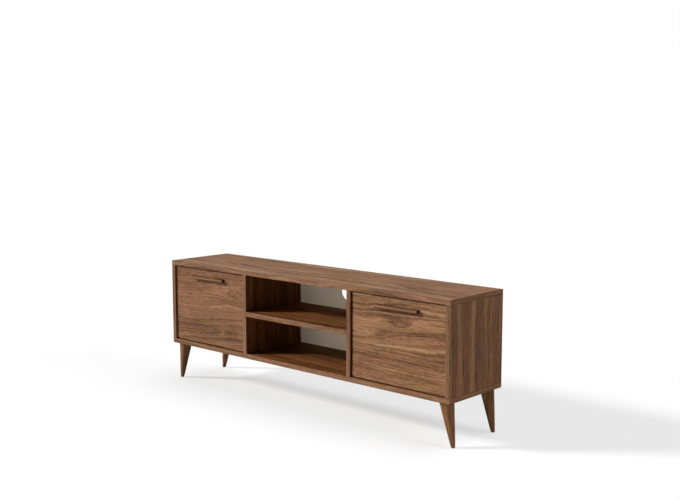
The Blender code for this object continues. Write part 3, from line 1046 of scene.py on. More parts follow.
def along(mesh: Mesh, place: Vector, direction: Vector) -> Mesh:
    """Lays a shape made round +Z along a direction.

    Args:
        mesh: The mesh to move.
        place: Where its origin goes.
        direction: Where its +Z points.

    Returns:
        The same mesh.
    """
    turn = Vector((0.0, 0.0, 1.0)).rotation_difference(direction).to_matrix().to_4x4()
    mesh.transform(Matrix.Translation(place) @ turn)
    return mesh


def turned_piece(
    node: str, outline: Outline, place: Vector, direction: Vector, look: Material
) -> Object:
    """Turns a round metal or plastic piece, and lays it along a direction.

    Args:
        node: The CAD node, whose name the piece takes with _turning added.
        outline: Its section, as for turned_mesh.
        place: Where its origin goes.
        direction: Where its +Z points.
        look: Its material.

    Returns:
        The new piece.
    """
    mesh = turned_mesh(f"{node}_turning", outline, TURNED_FACETS)
    return link(mesh.name, along(mesh, place, direction), look)


# --- Geometry node trees -------------------------------------------------------------------------
def finish_tree(
    sheet: NodeSheet, shape: NodeSocket, finish: NodeSocket, result: Node
) -> NodeTree:
    """Ends a geometry tree: real meshes, in one material.

    Args:
        sheet: The tree's sheet.
        shape: The geometry that it has made.
        finish: The material that came in.
        result: The output node.

    Returns:
        The finished tree.
    """
    real = sheet.node("GeometryNodeRealizeInstances", {0: shape})
    dressed = sheet.node("GeometryNodeSetMaterial", {0: real.outputs[0], "Material": finish})
    sheet.tree.links.new(dressed.outputs[0], result.inputs[0])
    return sheet.tree


@cache
def fastener_tree() -> NodeTree:
    """Sets one fastener on each seat, turned as a screwdriver happens to leave it.

    Returns:
        A geometry node tree that takes seat points carrying the facing attribute, made once.
    """
    inputs = {"Seats": "Geometry", "Fastener": "Object", "Spacing": "Float"}
    inputs |= {"Seed": "Int", "Finish": "Material"}
    sheet, entry, result = node_group(
        "seated_fasteners", "GeometryNodeTree", inputs, {"Fasteners": "Geometry"}
    )
    values = entry.outputs
    path = sheet.node("GeometryNodeMeshToCurve", {0: values["Seats"]})
    spread = sheet.node("GeometryNodeResampleCurve", {"Curve": path.outputs[0]}, mode="LENGTH")
    sheet.tree.links.new(values["Spacing"], spread.inputs["Length"])
    row = sheet.node("GeometryNodeCurveToPoints", {0: spread.outputs[0]}, mode="EVALUATED")
    in_a_row = sheet.node(
        "FunctionNodeCompare",
        {0: values["Spacing"], 1: 0.0},
        data_type="FLOAT",
        operation="GREATER_THAN",
    )
    choice = {"Switch": in_a_row.outputs[0], "False": values["Seats"], "True": row.outputs[0]}
    seats = sheet.node("GeometryNodeSwitch", choice, input_type="GEOMETRY")
    facing = sheet.node(
        "GeometryNodeInputNamedAttribute", {"Name": FACING}, data_type="FLOAT_VECTOR"
    )
    aimed = sheet.node("FunctionNodeAlignRotationToVector", {"Vector": facing.outputs[0]}, axis="Z")
    limits = {"Min": (0.0, 0.0, 0.0), "Max": (0.0, 0.0, 2.0 * math.pi), "Seed": values["Seed"]}
    turn = sheet.node("FunctionNodeRandomValue", limits, data_type="FLOAT_VECTOR")
    spun = sheet.node(
        "FunctionNodeRotateRotation",
        {"Rotation": aimed.outputs[0], "Rotate By": turn.outputs[0]},
        rotation_space="LOCAL",
    )
    shape = sheet.node("GeometryNodeObjectInfo", {"Object": values["Fastener"]})
    copies = {"Points": seats.outputs[0], "Instance": shape.outputs["Geometry"]}
    copies["Rotation"] = spun.outputs[0]
    placed = sheet.node("GeometryNodeInstanceOnPoints", copies)
    return finish_tree(sheet, placed.outputs[0], values["Finish"], result)


@cache
def ribbed_rod_tree() -> NodeTree:
    """A round bar along +Z with a helical thread or straight ridges, as one closed skin.

    Returns:
        A geometry node tree, made once. Starts is ridges in a turn, and Pitch is the rise of
        one ridge in a turn, so that a pitch of many times the length leaves them straight.
    """
    inputs = {"Seed Mesh": "Geometry", "Radius": "Float", "Length": "Float", "Depth": "Float"}
    inputs |= {"Pitch": "Float", "Starts": "Float", "Chamfer": "Float"}
    inputs |= {"Facets": "Int", "Rings": "Int", "Finish": "Material"}
    sheet, entry, result = node_group(
        "ribbed_rod", "GeometryNodeTree", inputs, {"Rod": "Geometry"}
    )
    values = entry.outputs
    sizes = {"Vertices": "Facets", "Side Segments": "Rings", "Radius": "Radius", "Depth": "Length"}
    rod = sheet.node(
        "GeometryNodeMeshCylinder", {key: values[name] for key, name in sizes.items()}
    )
    place = sheet.node("GeometryNodeInputPosition").outputs[0]
    parts = sheet.node("ShaderNodeSeparateXYZ", {0: place}).outputs
    turn = sheet.math("DIVIDE", sheet.math("ARCTAN2", parts[1], parts[0]), 2.0 * math.pi)
    phase = sheet.math("MULTIPLY", turn, values["Starts"])
    phase = sheet.math("SUBTRACT", sheet.math("DIVIDE", parts[2], values["Pitch"]), phase)
    ridge = sheet.math("PINGPONG", phase, 0.5)
    sunk = sheet.math("MULTIPLY", sheet.math("MULTIPLY", ridge, 2.0), values["Depth"])
    half = sheet.math("MULTIPLY", values["Length"], 0.5)
    to_end = sheet.math("SUBTRACT", half, sheet.math("ABSOLUTE", parts[2]))
    cut_off = sheet.math("MAXIMUM", sheet.math("SUBTRACT", values["Chamfer"], to_end), 0.0)
    inset = sheet.math("MAXIMUM", sunk, cut_off)
    share = sheet.math("SUBTRACT", 1.0, sheet.math("DIVIDE", inset, values["Radius"]))
    scale = sheet.node("ShaderNodeCombineXYZ", {0: share, 1: share, 2: 1.0}).outputs[0]
    moved = sheet.vector("MULTIPLY", place, scale)
    shaped = sheet.node(
        "GeometryNodeSetPosition", {"Geometry": rod.outputs["Mesh"], "Position": moved}
    )
    return finish_tree(sheet, shaped.outputs[0], values["Finish"], result)


def grown(
    name: str, tree: NodeTree, start: Mesh, values: dict[str, object]
) -> Object:
    """Runs a geometry node tree once, and keeps its result as a plain mesh.

    Args:
        name: The piece's name.
        tree: The tree.
        start: The mesh that goes in.
        values: The tree's inputs, by name.

    Returns:
        The piece, with no modifier left on it.
    """
    made = link(name, start)
    modifier = made.modifiers.new(tree.name, "NODES")
    modifier.node_group = tree
    sockets = {item.name: item.identifier for item in tree.interface.items_tree}
    for key, value in values.items():
        modifier[sockets[key]] = value
    mesh = evaluated(made)
    made.modifiers.remove(modifier)
    made.data = mesh
    mesh.name = name
    bpy.data.meshes.remove(start)
    return made


def ribbed_rod(name: str, finish: Material, **sizes: float) -> Object:
    """Grows one threaded or ridged bar along +Z, its middle at the origin.

    Args:
        name: The piece's name.
        finish: Its material.
        sizes: The tree's inputs, by name in small letters. Starts is 1 unless it is given.

    Returns:
        The piece.
    """
    values = {"Starts": 1.0, "Finish": finish}
    values |= {key.capitalize(): value for key, value in sizes.items()}
    return grown(name, ribbed_rod_tree(), bpy.data.meshes.new("rod_start"), values)


@dataclass(frozen=True)
class HeadPlace:
    """Where a fastener's head sits, and which way it looks."""

    place: Vector
    facing: Vector

    @classmethod
    def pair(cls, middle: Vector, offset: Vector, facing: Vector) -> "tuple[HeadPlace, ...]":
        """Two places, one on each side of a middle, looking the same way."""
        return tuple(cls(middle + sign * offset, facing) for sign in (-1.0, 1.0))


def seats_mesh(seats: Sequence[HeadPlace], joined: bool = False) -> Mesh:
    """Points that carry the facing attribute.

    Args:
        seats: Where the heads sit.
        joined: Whether they are the corners of a closed path.

    Returns:
        The mesh.
    """
    mesh = bpy.data.meshes.new("seats")
    count = len(seats)
    edges = [(step, (step + 1) % count) for step in range(count)] if joined else []
    mesh.from_pydata([seat.place for seat in seats], edges, [])
    attribute = mesh.attributes.new(FACING, "FLOAT_VECTOR", "POINT")
    for item, seat in zip(attribute.data, seats):
        item.vector = seat.facing
    return mesh


@dataclass(frozen=True)
class Head:
    """A fastener's head, looking along +Z from the surface at z = 0.

    Fields:
        name: What it is.
        radius: Its radius.
        height: How far it stands out.
        dome: How much of the height is crowned, from 0 for flat.
        drive: Its recess.
        recess: The recess's depth.
        arm: Half the width of a cross's arm, or a hexagon's radius.
        facets: Faces in a ring.
    """

    name: str
    radius: float
    height: float
    dome: float
    drive: Drive
    recess: float = 0.001
    arm: float = 0.0004
    facets: int = 32

    def outline(self) -> Outline:
        """Its section, from the hidden underside to the middle of the crown."""
        rim = self.height * (1.0 - self.dome)
        chamfer = min(0.2 * self.radius, 0.5 * rim)
        points = [(-self.height, 0.0), (-self.height, self.radius), (rim - chamfer, self.radius)]
        steps = 4 if self.dome else 1
        for step in range(steps + 1):
            share = step / steps
            radius = (self.radius - chamfer) * (1.0 - 0.6 * share)
            crown = self.height * self.dome * (1.0 - (radius / (self.radius - chamfer)) ** 2)
            points.append((rim + crown, radius))
        return [*points, (points[-1][0], 0.0)]

    def cutter(self) -> Mesh | None:
        """The recess as a solid, or None for a plain head."""
        if self.drive is Drive.PLAIN:
            return None
        reach = 0.62 * self.radius
        count = self.drive.value
        turns = [2.0 * math.pi / count * step for step in range(count)]
        if self.drive is Drive.CROSS:
            corners = [(reach, -self.arm), (reach, self.arm), (self.arm, self.arm)]
            points = [Matrix.Rotation(t, 2) @ Vector(corner) for t in turns for corner in corners]
        else:
            points = [Vector((self.arm * math.cos(t), self.arm * math.sin(t))) for t in turns]
        builder = bmesh.new()
        floor = self.height - self.recess
        face = builder.faces.new([builder.verts.new((*point, floor)) for point in points])
        grown_out = bmesh.ops.extrude_face_region(builder, geom=[face])["geom"]
        lid = [item for item in grown_out if isinstance(item, BMVert)]
        bmesh.ops.translate(builder, verts=lid, vec=(0.0, 0.0, 2.0 * self.recess))
        bmesh.ops.recalc_face_normals(builder, faces=builder.faces)
        mesh = bpy.data.meshes.new(f"{self.name}_recess")
        builder.to_mesh(mesh)
        builder.free()
        return mesh

    def make(self) -> Object:
        """Builds the head as a pattern object.

        Returns:
            The object, for a fastener tree to copy.
        """
        pattern = link(self.name, turned_mesh(self.name, self.outline(), self.facets))
        recess = self.cutter()
        if recess is not None:
            cutter = link(recess.name, recess)
            boolean = pattern.modifiers.new("recess", "BOOLEAN")
            boolean.object = cutter
            mesh = evaluated(pattern)
            pattern.modifiers.clear()
            pattern.data = mesh
            bpy.data.objects.remove(cutter)
            shade(mesh)
        return pattern


CONFIRMAT = Head("confirmat_head", 0.0050, 0.0009, 0.0, Drive.HEX, 0.0007, 0.0023)
CAM = Head("cam_face", 0.0075, 0.0008, 0.0, Drive.CROSS, 0.0006, 0.0009)
SHELF_SCREW = Head("shelf_screw_head", 0.0048, 0.0009, 0.0, Drive.HEX, 0.0007, 0.0022)
PANEL_PIN = Head("panel_pin_head", 0.0015, 0.0004, 0.5, Drive.PLAIN, facets=12)
PAN_HEAD = Head("pan_head", 0.0030, 0.0015, 0.5, Drive.CROSS, 0.0009, 0.0004)
FLUSH_HEAD = Head("flush_head", 0.0028, 0.00018, 0.0, Drive.CROSS, 0.00014, 0.0004)
M4_HEAD = Head("m4_head", 0.0040, 0.0022, 0.55, Drive.CROSS, 0.0014, 0.0005)


@dataclass(frozen=True)
class FastenerSet:
    """Like fasteners on one body.

    Fields:
        name: The piece's name.
        head: The head that each seat gets.
        body: The body that they ride on.
        seats: Their places, or the corners of a path where spacing is set.
        spacing: The distance along the path, or 0 for one at each seat.
        seed: Seed of the heads' turns.
    """

    name: str
    head: Head
    body: str
    seats: Sequence[HeadPlace]
    spacing: float = 0.0
    seed: int = 7

    def build(self, finish: Material) -> Object:
        """Builds the set.

        Args:
            finish: The material of all of them.

        Returns:
            The piece, riding on its body.
        """
        pattern = self.head.make()
        values = {"Fastener": pattern, "Spacing": self.spacing, "Seed": self.seed, "Finish": finish}
        start = seats_mesh(self.seats, joined=self.spacing > 0.0)
        made = grown(self.name, fastener_tree(), start, values)
        bpy.data.objects.remove(pattern)
        settle(made, self.body, "zinc_steel")
        return made


# --- Case ----------------------------------------------------------------------------------------
@dataclass
class Carcass:
    """The seven boards of the case and the fasteners that hold them.

    Fields:
        palette: The finishes.
        cam_drop: From the underside of the top panel down to the cams' centres.
        screw_inset: From the boards' front and back edges to a row of fasteners.
        base_screw_inset: The same under the bottom panel, clear of the legs.
    """

    palette: Palette
    cam_drop: float = 0.030
    screw_inset: float = 0.045
    base_screw_inset: float = 0.090

    def build(self) -> None:
        """Builds the boards, then their fasteners."""
        boards = {"top_panel": Axis.Z, "bottom_panel": Axis.Z, "middle_shelf": Axis.Z}
        for side in Side:
            boards |= {f"{side.word}_side_panel": Axis.X, f"{side.word}_divider": Axis.X}
        band = self.palette.wood("end_band")
        raw = self.palette.get(CHIPBOARD)
        for node, thin in boards.items():
            end = Axis.X if thin is Axis.Z else Axis.Z
            front = self.palette.wood("front_band" if thin is Axis.Z else "upright_band")
            board = board_piece(node, thin, end, (self.palette.wood(node), band, raw, front))
            settle(board, CABINET, "walnut_board", node)
        self.build_fasteners()

    def rows(self, inset: float) -> tuple[float, float]:
        """The Y of the front and the rear row of fasteners."""
        board = Box.of("middle_shelf")
        return board.low.y + inset, board.high.y - inset

    def build_fasteners(self) -> None:
        """Screws under the bottom panel, cams below the top panel, screws into the shelf."""
        zinc = self.palette.get(ZINC)
        bottom, shelf = Box.of("bottom_panel"), Box.of("middle_shelf")
        ceiling = Box.of("top_panel").low.z
        base, cams, screws = [], [], []
        for side in Side:
            divider, panel = Box.of(f"{side.word}_divider"), Box.of(f"{side.word}_side_panel")
            inner = panel.entry(-side.inwards).x
            outer = divider.entry(side.inwards).x
            for y in self.rows(self.base_screw_inset):
                for board in (divider, panel):
                    place = Vector((board.centre.x, y, bottom.low.z))
                    base.append(HeadPlace(place, -Axis.Z.vector))
            for y in self.rows(self.screw_inset):
                level = ceiling - self.cam_drop
                cams.append(HeadPlace(Vector((inner, y, level)), side.inwards))
                cams.append(HeadPlace(Vector((outer, y, level)), -side.inwards))
                screws.append(HeadPlace(Vector((outer, y, shelf.centre.z)), -side.inwards))
        for name, head, seats in (
            ("bottom_panel_screws", CONFIRMAT, base),
            ("top_panel_cams", CAM, cams),
            ("shelf_screws", SHELF_SCREW, screws),
        ):
            FastenerSet(name, head, CABINET, seats).build(zinc)


@dataclass
class BackPanels:
    """The three hardboard panels and the pins round their edges.

    Fields:
        palette: The finishes.
        pin_inset: From a panel's edge in to its row of pins.
        pin_spacing: Between two pins.
        sunk: How far the outer face lies inside the pins' heads.
    """

    palette: Palette
    pin_inset: float = 0.0065
    pin_spacing: float = 0.105
    sunk: float = 0.0002

    def build(self) -> None:
        """Builds each panel with its own ring of pins."""
        for place in ("left", "centre", "right"):
            node = f"{place}_back_panel"
            builder = welded(node)
            back = Box.of(node).high.y
            for point in builder.verts:
                if point.co.y > back - self.sunk:
                    point.co.y = back - self.sunk
            for face in builder.faces:
                face.material_index = 0 if face.normal.y < -0.9 else 1
            mesh = bpy.data.meshes.new(f"{node}_sheet")
            builder.to_mesh(mesh)
            builder.free()
            shade(mesh)
            looks = (self.palette.get(BACK_INSIDE), self.palette.get(BACK_OUTSIDE))
            panel = link(mesh.name, mesh, *looks)
            settle(panel, CABINET, "grey_hardboard", node)
            self.build_pins(place, Box.of(node))

    def build_pins(self, place: str, panel: Box) -> None:
        """Drives pins round one panel.

        Args:
            place: Which panel.
            panel: Its box.
        """
        low, high = panel.low, panel.high
        inset = self.pin_inset
        y = high.y - PANEL_PIN.height
        corners = [(low.x, low.z, 1, 1), (high.x, low.z, -1, 1)]
        corners += [(high.x, high.z, -1, -1), (low.x, high.z, 1, -1)]
        seats = [
            HeadPlace(Vector((x + in_x * inset, y, z + in_z * inset)), Axis.Y.vector)
            for x, z, in_x, in_z in corners
        ]
        name = f"{place}_back_panel_pins"
        pins = FastenerSet(name, PANEL_PIN, CABINET, seats, self.pin_spacing)
        pins.build(self.palette.get(ZINC))


@dataclass
class Legs:
    """The four turned legs, their hanger bolts and inserts.

    Fields:
        palette: The finishes.
        facets: Faces in a ring.
        foot_round: The radius round the foot.
        top_ease: The chamfer round the top.
        bolt_pitch: Rise of the bolt's thread in a turn.
        bolt_depth: Depth of the bolt's thread.
        bolt_chamfer: The chamfer at the bolt's ends.
        bolt_facets: Faces round the bolt.
        bolt_rings: Rings of faces in a turn of its thread.
    """

    palette: Palette
    facets: int = 96
    foot_round: float = 0.0040
    top_ease: float = 0.0006
    bolt_pitch: float = 0.00125
    bolt_depth: float = 0.0007
    bolt_chamfer: float = 0.0012
    bolt_facets: int = 24
    bolt_rings: int = 5

    def build(self) -> None:
        """Builds every leg with its bolt and insert."""
        for row in ("front", "rear"):
            for side in Side:
                self.build_leg(f"{row}_{side.word}_leg")
                self.build_bolt(f"{row}_{side.word}_leg_bolt")
                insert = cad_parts[f"{row}_{side.word}_leg_insert"]
                insert.data.materials.clear()
                insert.data.materials.append(self.palette.get(BRASS))

    def build_leg(self, node: str) -> None:
        """Turns one leg.

        Args:
            node: The leg's CAD node.
        """
        box, bolt = Box.of(node), Box.of(f"{node}_bolt")
        height = box.size.z
        top_radius = box.size.y / 2
        top_x = bolt.centre.x
        level = box.low.z + self.foot_round + WELD
        foot = [v.co.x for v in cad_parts[node].data.vertices if v.co.z < level]
        foot_x = (min(foot) + max(foot)) / 2
        foot_radius = (max(foot) - min(foot)) / 2
        lean = (top_x - foot_x) / height
        middle = (self.foot_round, foot_radius - self.foot_round)
        outline = [(0.0, 0.0), *arc(middle, self.foot_round, 180.0, 90.0, 8)]
        belly = 8
        for step in range(1, belly):
            share = step / belly
            outline.append((share * height, foot_radius + share * (top_radius - foot_radius)))
        ease = self.top_ease
        outline += [(height - ease, top_radius), (height, top_radius - ease), (height, 0.0)]
        mesh = turned_mesh(f"{node}_turning", outline, self.facets, lean)
        mesh.transform(Matrix.Translation((foot_x, box.centre.y, box.low.z)))
        leg = link(mesh.name, mesh, self.palette.wood("leg"))
        settle(leg, CABINET, "walnut_leg", node)

    def build_bolt(self, node: str) -> None:
        """Cuts the thread of one hanger bolt.

        Args:
            node: The bolt's CAD node.
        """
        box = Box.of(node)
        bolt = ribbed_rod(
            f"{node}_thread",
            self.palette.get(ZINC),
            radius=box.size.x / 2,
            length=box.size.z,
            depth=self.bolt_depth,
            pitch=self.bolt_pitch,
            chamfer=self.bolt_chamfer,
            facets=self.bolt_facets,
            rings=round(box.size.z / self.bolt_pitch * self.bolt_rings),
        )
        bolt.data.transform(Matrix.Translation(box.centre))
        shade(bolt.data)
        settle(bolt, CABINET, "zinc_steel", node)


# --- Doors ---------------------------------------------------------------------------------------
@dataclass
class FlapDoor:
    """One door: panel, pivots, handle and strike plate.

    Fields:
        palette: The finishes.
        side: The end of the cabinet that it closes.
        strip: The height of the wood strip along the handle rail's front.
        strike_spread: The strike's screws from its middle, as a share of its width.
        bush_flange: Thickness of a bush's flange.
        bush_wall: Thickness of its wall.
        bush_clearance: Round the pin in it.
        thread_pitch: Rise of a handle screw's thread in a turn.
        thread_depth: Depth of that thread.
        thread_chamfer: The chamfer at the screw's ends.
        thread_facets: Faces round the screw.
        thread_rings: Rings of faces in a turn of its thread.
    """

    palette: Palette
    side: Side
    strip: float = 0.0092
    strike_spread: float = 0.36
    bush_flange: float = 0.0012
    bush_wall: float = 0.0012
    bush_clearance: float = 0.0003
    thread_pitch: float = 0.0007
    thread_depth: float = 0.0004
    thread_chamfer: float = 0.0006
    thread_facets: int = 20
    thread_rings: int = 4

    @property
    def body(self) -> str:
        """The door's body."""
        return f"{self.side.word}_door"

    def build(self) -> None:
        """Builds the whole door."""
        word = self.side.word
        panel = f"{word}_door_panel"
        looks = [self.palette.wood(name) for name in (panel, "upright_band")]
        board = board_piece(panel, Axis.Y, Axis.X, looks)
        settle(board, self.body, "walnut_door", panel)
        self.build_pivots()
        self.build_handle()
        strike = f"{word}_strike_plate"
        zinc = self.palette.get(ZINC)
        settle(eased_piece(strike, METAL_EDGE, zinc), self.body, "zinc_steel", strike)
        box = Box.of(strike)
        middle = Vector((box.centre.x, box.high.y, box.centre.z))
        offset = Vector((self.strike_spread * box.size.x, 0.0, 0.0))
        seats = HeadPlace.pair(middle, offset, Axis.Y.vector)
        FastenerSet(f"{word}_strike_screws", FLUSH_HEAD, self.body, seats).build(zinc)

    def build_pivots(self) -> None:
        """Turns the two hinge pins and their flanged bushes."""
        word = self.side.word
        for corner, outwards in (("outer", -self.side.inwards), ("inner", self.side.inwards)):
            pin_node, bush_node = f"{word}_door_{corner}_hinge_pin", f"{word}_door_{corner}_bush"
            pin, bush = Box.of(pin_node), Box.of(bush_node)
            length, radius = pin.size.x, pin.size.y / 2
            tip = 0.15 * radius
            outline = [(0.0, 0.0), (0.0, radius - tip), (tip, radius)]
            outline += [(length - tip, radius), (length, radius - tip), (length, 0.0)]
            zinc = self.palette.get(ZINC)
            made = turned_piece(pin_node, outline, pin.entry(outwards), outwards, zinc)
            settle(made, self.body, "zinc_steel", pin_node)
            self.build_bush(bush_node, bush, outwards, radius)

    def build_bush(self, node: str, box: Box, outwards: Vector, pin_radius: float) -> None:
        """Turns one bush.

        Args:
            node: The bush's CAD node.
            box: Its box.
            outwards: From the door into the board that holds it.
            pin_radius: The radius of the pin that it carries.
        """
        flange, wall, ease = self.bush_flange, self.bush_wall, METAL_EDGE
        length, radius = box.size.x, box.size.y / 2
        bore = pin_radius + self.bush_clearance
        outline = [(0.0, bore + ease), (0.0, radius - ease), (ease, radius)]
        outline += [(flange - ease, radius), (flange, radius - ease), (flange, bore + wall)]
        outline += [(length - ease, bore + wall), (length, bore + wall - ease)]
        outline += [(length, bore), (ease, bore)]
        nylon = self.palette.get(NYLON)
        made = turned_piece(node, outline, box.entry(outwards), outwards, nylon)
        settle(made, CABINET, "nylon", node)

    def build_handle(self) -> None:
        """Shapes the rail, its posts and the heads of the screws behind the door."""
        word = self.side.word
        rail = f"{word}_handle_rail"
        made = eased_piece(rail, 0.0, self.palette.wood("rail"))
        made.data.materials.append(self.palette.wood("rail_edge"))
        self.inlay(made.data, Box.of(rail).centre.z)
        settle(made, self.body, "walnut_rail", rail)
        for place in ("left", "right"):
            post, screw = f"{word}_handle_{place}_post", f"{word}_handle_{place}_screw"
            made = eased_piece(post, 0.0, self.palette.get(BRONZE))
            settle(made, self.body, "dark_bronze", post)
            self.build_screw(screw)

    def inlay(self, mesh: Mesh, level: float) -> None:
        """Leaves the wood as a strip along the rail's front, between dark edges.

        Args:
            mesh: The rail, with the wood in its first slot and the dark edge in its second.
            level: The height of the rail's middle.
        """
        builder = bmesh.new()
        builder.from_mesh(mesh)
        for step in (-0.5, 0.5):
            cut = [*builder.verts, *builder.edges, *builder.faces]
            place = (0.0, 0.0, level + step * self.strip)
            bmesh.ops.bisect_plane(builder, geom=cut, plane_co=place, plane_no=(0.0, 0.0, 1.0))
        for face in builder.faces:
            rise = abs(face.calc_center_median().z - level)
            face.material_index = 0 if face.normal.y < -0.5 and rise < 0.5 * self.strip else 1
        builder.to_mesh(mesh)
        builder.free()

    def build_screw(self, node: str) -> None:
        """Turns one M4 handle screw, with its head behind the door.

        Args:
            node: The screw's CAD node.
        """
        box = Box.of(node)
        zinc = self.palette.get(ZINC)
        seat = box.high.y - M4_HEAD.height
        seats = [HeadPlace(Vector((box.centre.x, seat, box.centre.z)), Axis.Y.vector)]
        head = FastenerSet(f"{node}_head", M4_HEAD, self.body, seats).build(zinc)
        length = seat - M4_HEAD.height - box.low.y
        shank = ribbed_rod(
            f"{node}_shank",
            zinc,
            radius=M4_HEAD.radius / 2,
            length=length,
            depth=self.thread_depth,
            pitch=self.thread_pitch,
            chamfer=self.thread_chamfer,
            facets=self.thread_facets,
            rings=round(length / self.thread_pitch * self.thread_rings),
        )
        middle = Vector((box.centre.x, box.low.y + length / 2, box.centre.z))
        along(shank.data, middle, Axis.Y.vector)
        shade(shank.data)
        settle(shank, self.body, "zinc_steel")
        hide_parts(node)


@dataclass
class Catch:
    """One magnetic catch under the top panel.

    Fields:
        palette: The finishes.
        side: The end of the cabinet that it is in.
        screw_spread: Its screws from its middle, as a share of its width.
    """

    palette: Palette
    side: Side
    screw_spread: float = 0.42

    def build(self) -> None:
        """Builds the case, the magnet and the two screws."""
        word = self.side.word
        case, magnet = f"{word}_catch_case", f"{word}_catch_magnet"
        made = eased_piece(case, 0.0, self.palette.get(BROWN_PLASTIC))
        settle(made, CABINET, "brown_plastic", case)
        made = eased_piece(magnet, METAL_EDGE, self.palette.get(POLE_PLATE))
        settle(made, CABINET, "magnet", magnet)
        box = Box.of(case)
        middle = Vector((box.centre.x, box.centre.y, box.low.z))
        offset = Vector((self.screw_spread * box.size.x, 0.0, 0.0))
        seats = HeadPlace.pair(middle, offset, -Axis.Z.vector)
        screws = FastenerSet(f"{word}_catch_screws", PAN_HEAD, CABINET, seats)
        screws.build(self.palette.get(ZINC))


@dataclass
class FlapStay:
    """One slotted stay: arm, door bracket, rivet, side plate and braked stud.

    Fields:
        palette: The finishes.
        side: The end of the cabinet that it is in.
        bracket_leaf: Thickness of the door bracket.
        bracket_shift: Its screws from its middle, inwards, as a share of its width.
        bracket_spread: The same up and down, as a share of its height.
        plate_spread: The side plate's screws, up and down, as a share of its height.
        rivet_head: Thickness of a rivet's head.
        rivet_shank: The rivet's radius between its heads.
        stud_radius: The stud's radius.
        collar_radius: The radius of its collar.
        play: Clearance on each side of the arm.
        ridges: Ridges round the knob.
        ridge_depth: Their depth.
        knob_chamfer: The chamfer at the knob's ends.
    """

    palette: Palette
    side: Side
    bracket_leaf: float = 0.002
    bracket_shift: float = 0.15
    bracket_spread: float = 0.27
    plate_spread: float = 0.34
    rivet_head: float = 0.0014
    rivet_shank: float = 0.0025
    stud_radius: float = 0.0030
    collar_radius: float = 0.0050
    play: float = 0.0003
    ridges: int = 28
    ridge_depth: float = 0.0005
    knob_chamfer: float = 0.0008

    def build(self) -> None:
        """Builds the stay, each piece on its own body."""
        word = self.side.word
        door = f"{word}_door"
        zinc = self.palette.get(ZINC)
        for node, edge, body in (
            (f"{word}_stay_arm", PLATE_EDGE, f"{word}_stay_arm"),
            (f"{word}_stay_door_bracket", METAL_EDGE, door),
            (f"{word}_stay_side_plate", PLATE_EDGE, CABINET),
        ):
            settle(eased_piece(node, edge, zinc), body, "zinc_steel", node)
        self.build_rivet(f"{word}_stay_rivet", door)
        self.build_stud(f"{word}_stay_brake_screw")
        bracket, plate = Box.of(f"{word}_stay_door_bracket"), Box.of(f"{word}_stay_side_plate")
        x = bracket.centre.x + self.bracket_shift * bracket.size.x * self.side.inwards.x
        middle = Vector((x, bracket.low.y + self.bracket_leaf, bracket.centre.z))
        offset = self.bracket_spread * bracket.size.z * Axis.Z.vector
        seats = HeadPlace.pair(middle, offset, Axis.Y.vector)
        FastenerSet(f"{word}_stay_bracket_screws", PAN_HEAD, door, seats).build(zinc)
        offset = self.plate_spread * plate.size.z * Axis.Z.vector
        seats = HeadPlace.pair(plate.entry(-self.side.inwards), offset, self.side.inwards)
        FastenerSet(f"{word}_stay_plate_screws", PAN_HEAD, CABINET, seats).build(zinc)

    def build_rivet(self, node: str, body: str) -> None:
        """Turns the rivet, its two heads domed.

        Args:
            node: The rivet's CAD node.
            body: The door's body.
        """
        box = Box.of(node)
        length, radius, head, shank = box.size.x, box.size.y / 2, self.rivet_head, self.rivet_shank
        steps = 6
        turns = [0.5 * math.pi * step / steps for step in range(steps + 1)]
        dome = [(head * (1.0 - math.cos(t)), radius * math.sin(t)) for t in turns]
        outline = dome + [(head, shank), (length - head, shank)]
        outline += [(length - height, wide) for height, wide in reversed(dome)]
        inwards = self.side.inwards
        made = turned_piece(node, outline, box.entry(inwards), inwards, self.palette.get(ZINC))
        settle(made, body, "zinc_steel", node)

    def build_stud(self, node: str) -> None:
        """Builds the stud with its collar, and the knurled knob on it.

        Args:
            node: The brake screw's CAD node.
        """
        box = Box.of(node)
        word, inwards = self.side.word, self.side.inwards
        arm, plate = Box.of(f"{word}_stay_arm"), Box.of(f"{word}_stay_side_plate")
        wall = plate.entry(inwards).x

        def reach(part: Box, direction: Vector) -> float:
            """How far a part's face lies from the side panel."""
            return abs(part.entry(direction).x - wall)

        gap, stud, collar = self.play, self.stud_radius, self.collar_radius
        root, seat = reach(box, inwards), reach(plate, -inwards) + gap
        stop, nut = reach(arm, inwards) - gap, reach(arm, -inwards) + 2 * gap
        outline = [(root, 0.0), (root, stud), (seat, stud), (seat, collar)]
        outline += [(stop, collar), (stop, stud), (nut, stud), (nut, 0.0)]
        place = Vector((wall, box.centre.y, box.centre.z))
        made = turned_piece(node, outline, place, inwards, self.palette.get(ZINC))
        settle(made, CABINET, "zinc_steel")
        near, far = nut - gap, reach(box, -inwards)
        knob = ribbed_rod(
            f"{node}_knob",
            self.palette.get(BRONZE),
            radius=box.size.y / 2,
            length=far - near,
            depth=self.ridge_depth,
            pitch=1000.0,
            starts=float(self.ridges),
            chamfer=self.knob_chamfer,
            facets=self.ridges * 4,
            rings=12,
        )
        along(knob.data, place + (near + far) / 2 * inwards, inwards)
        shade(knob.data)
        settle(knob, CABINET, "dark_bronze", node)


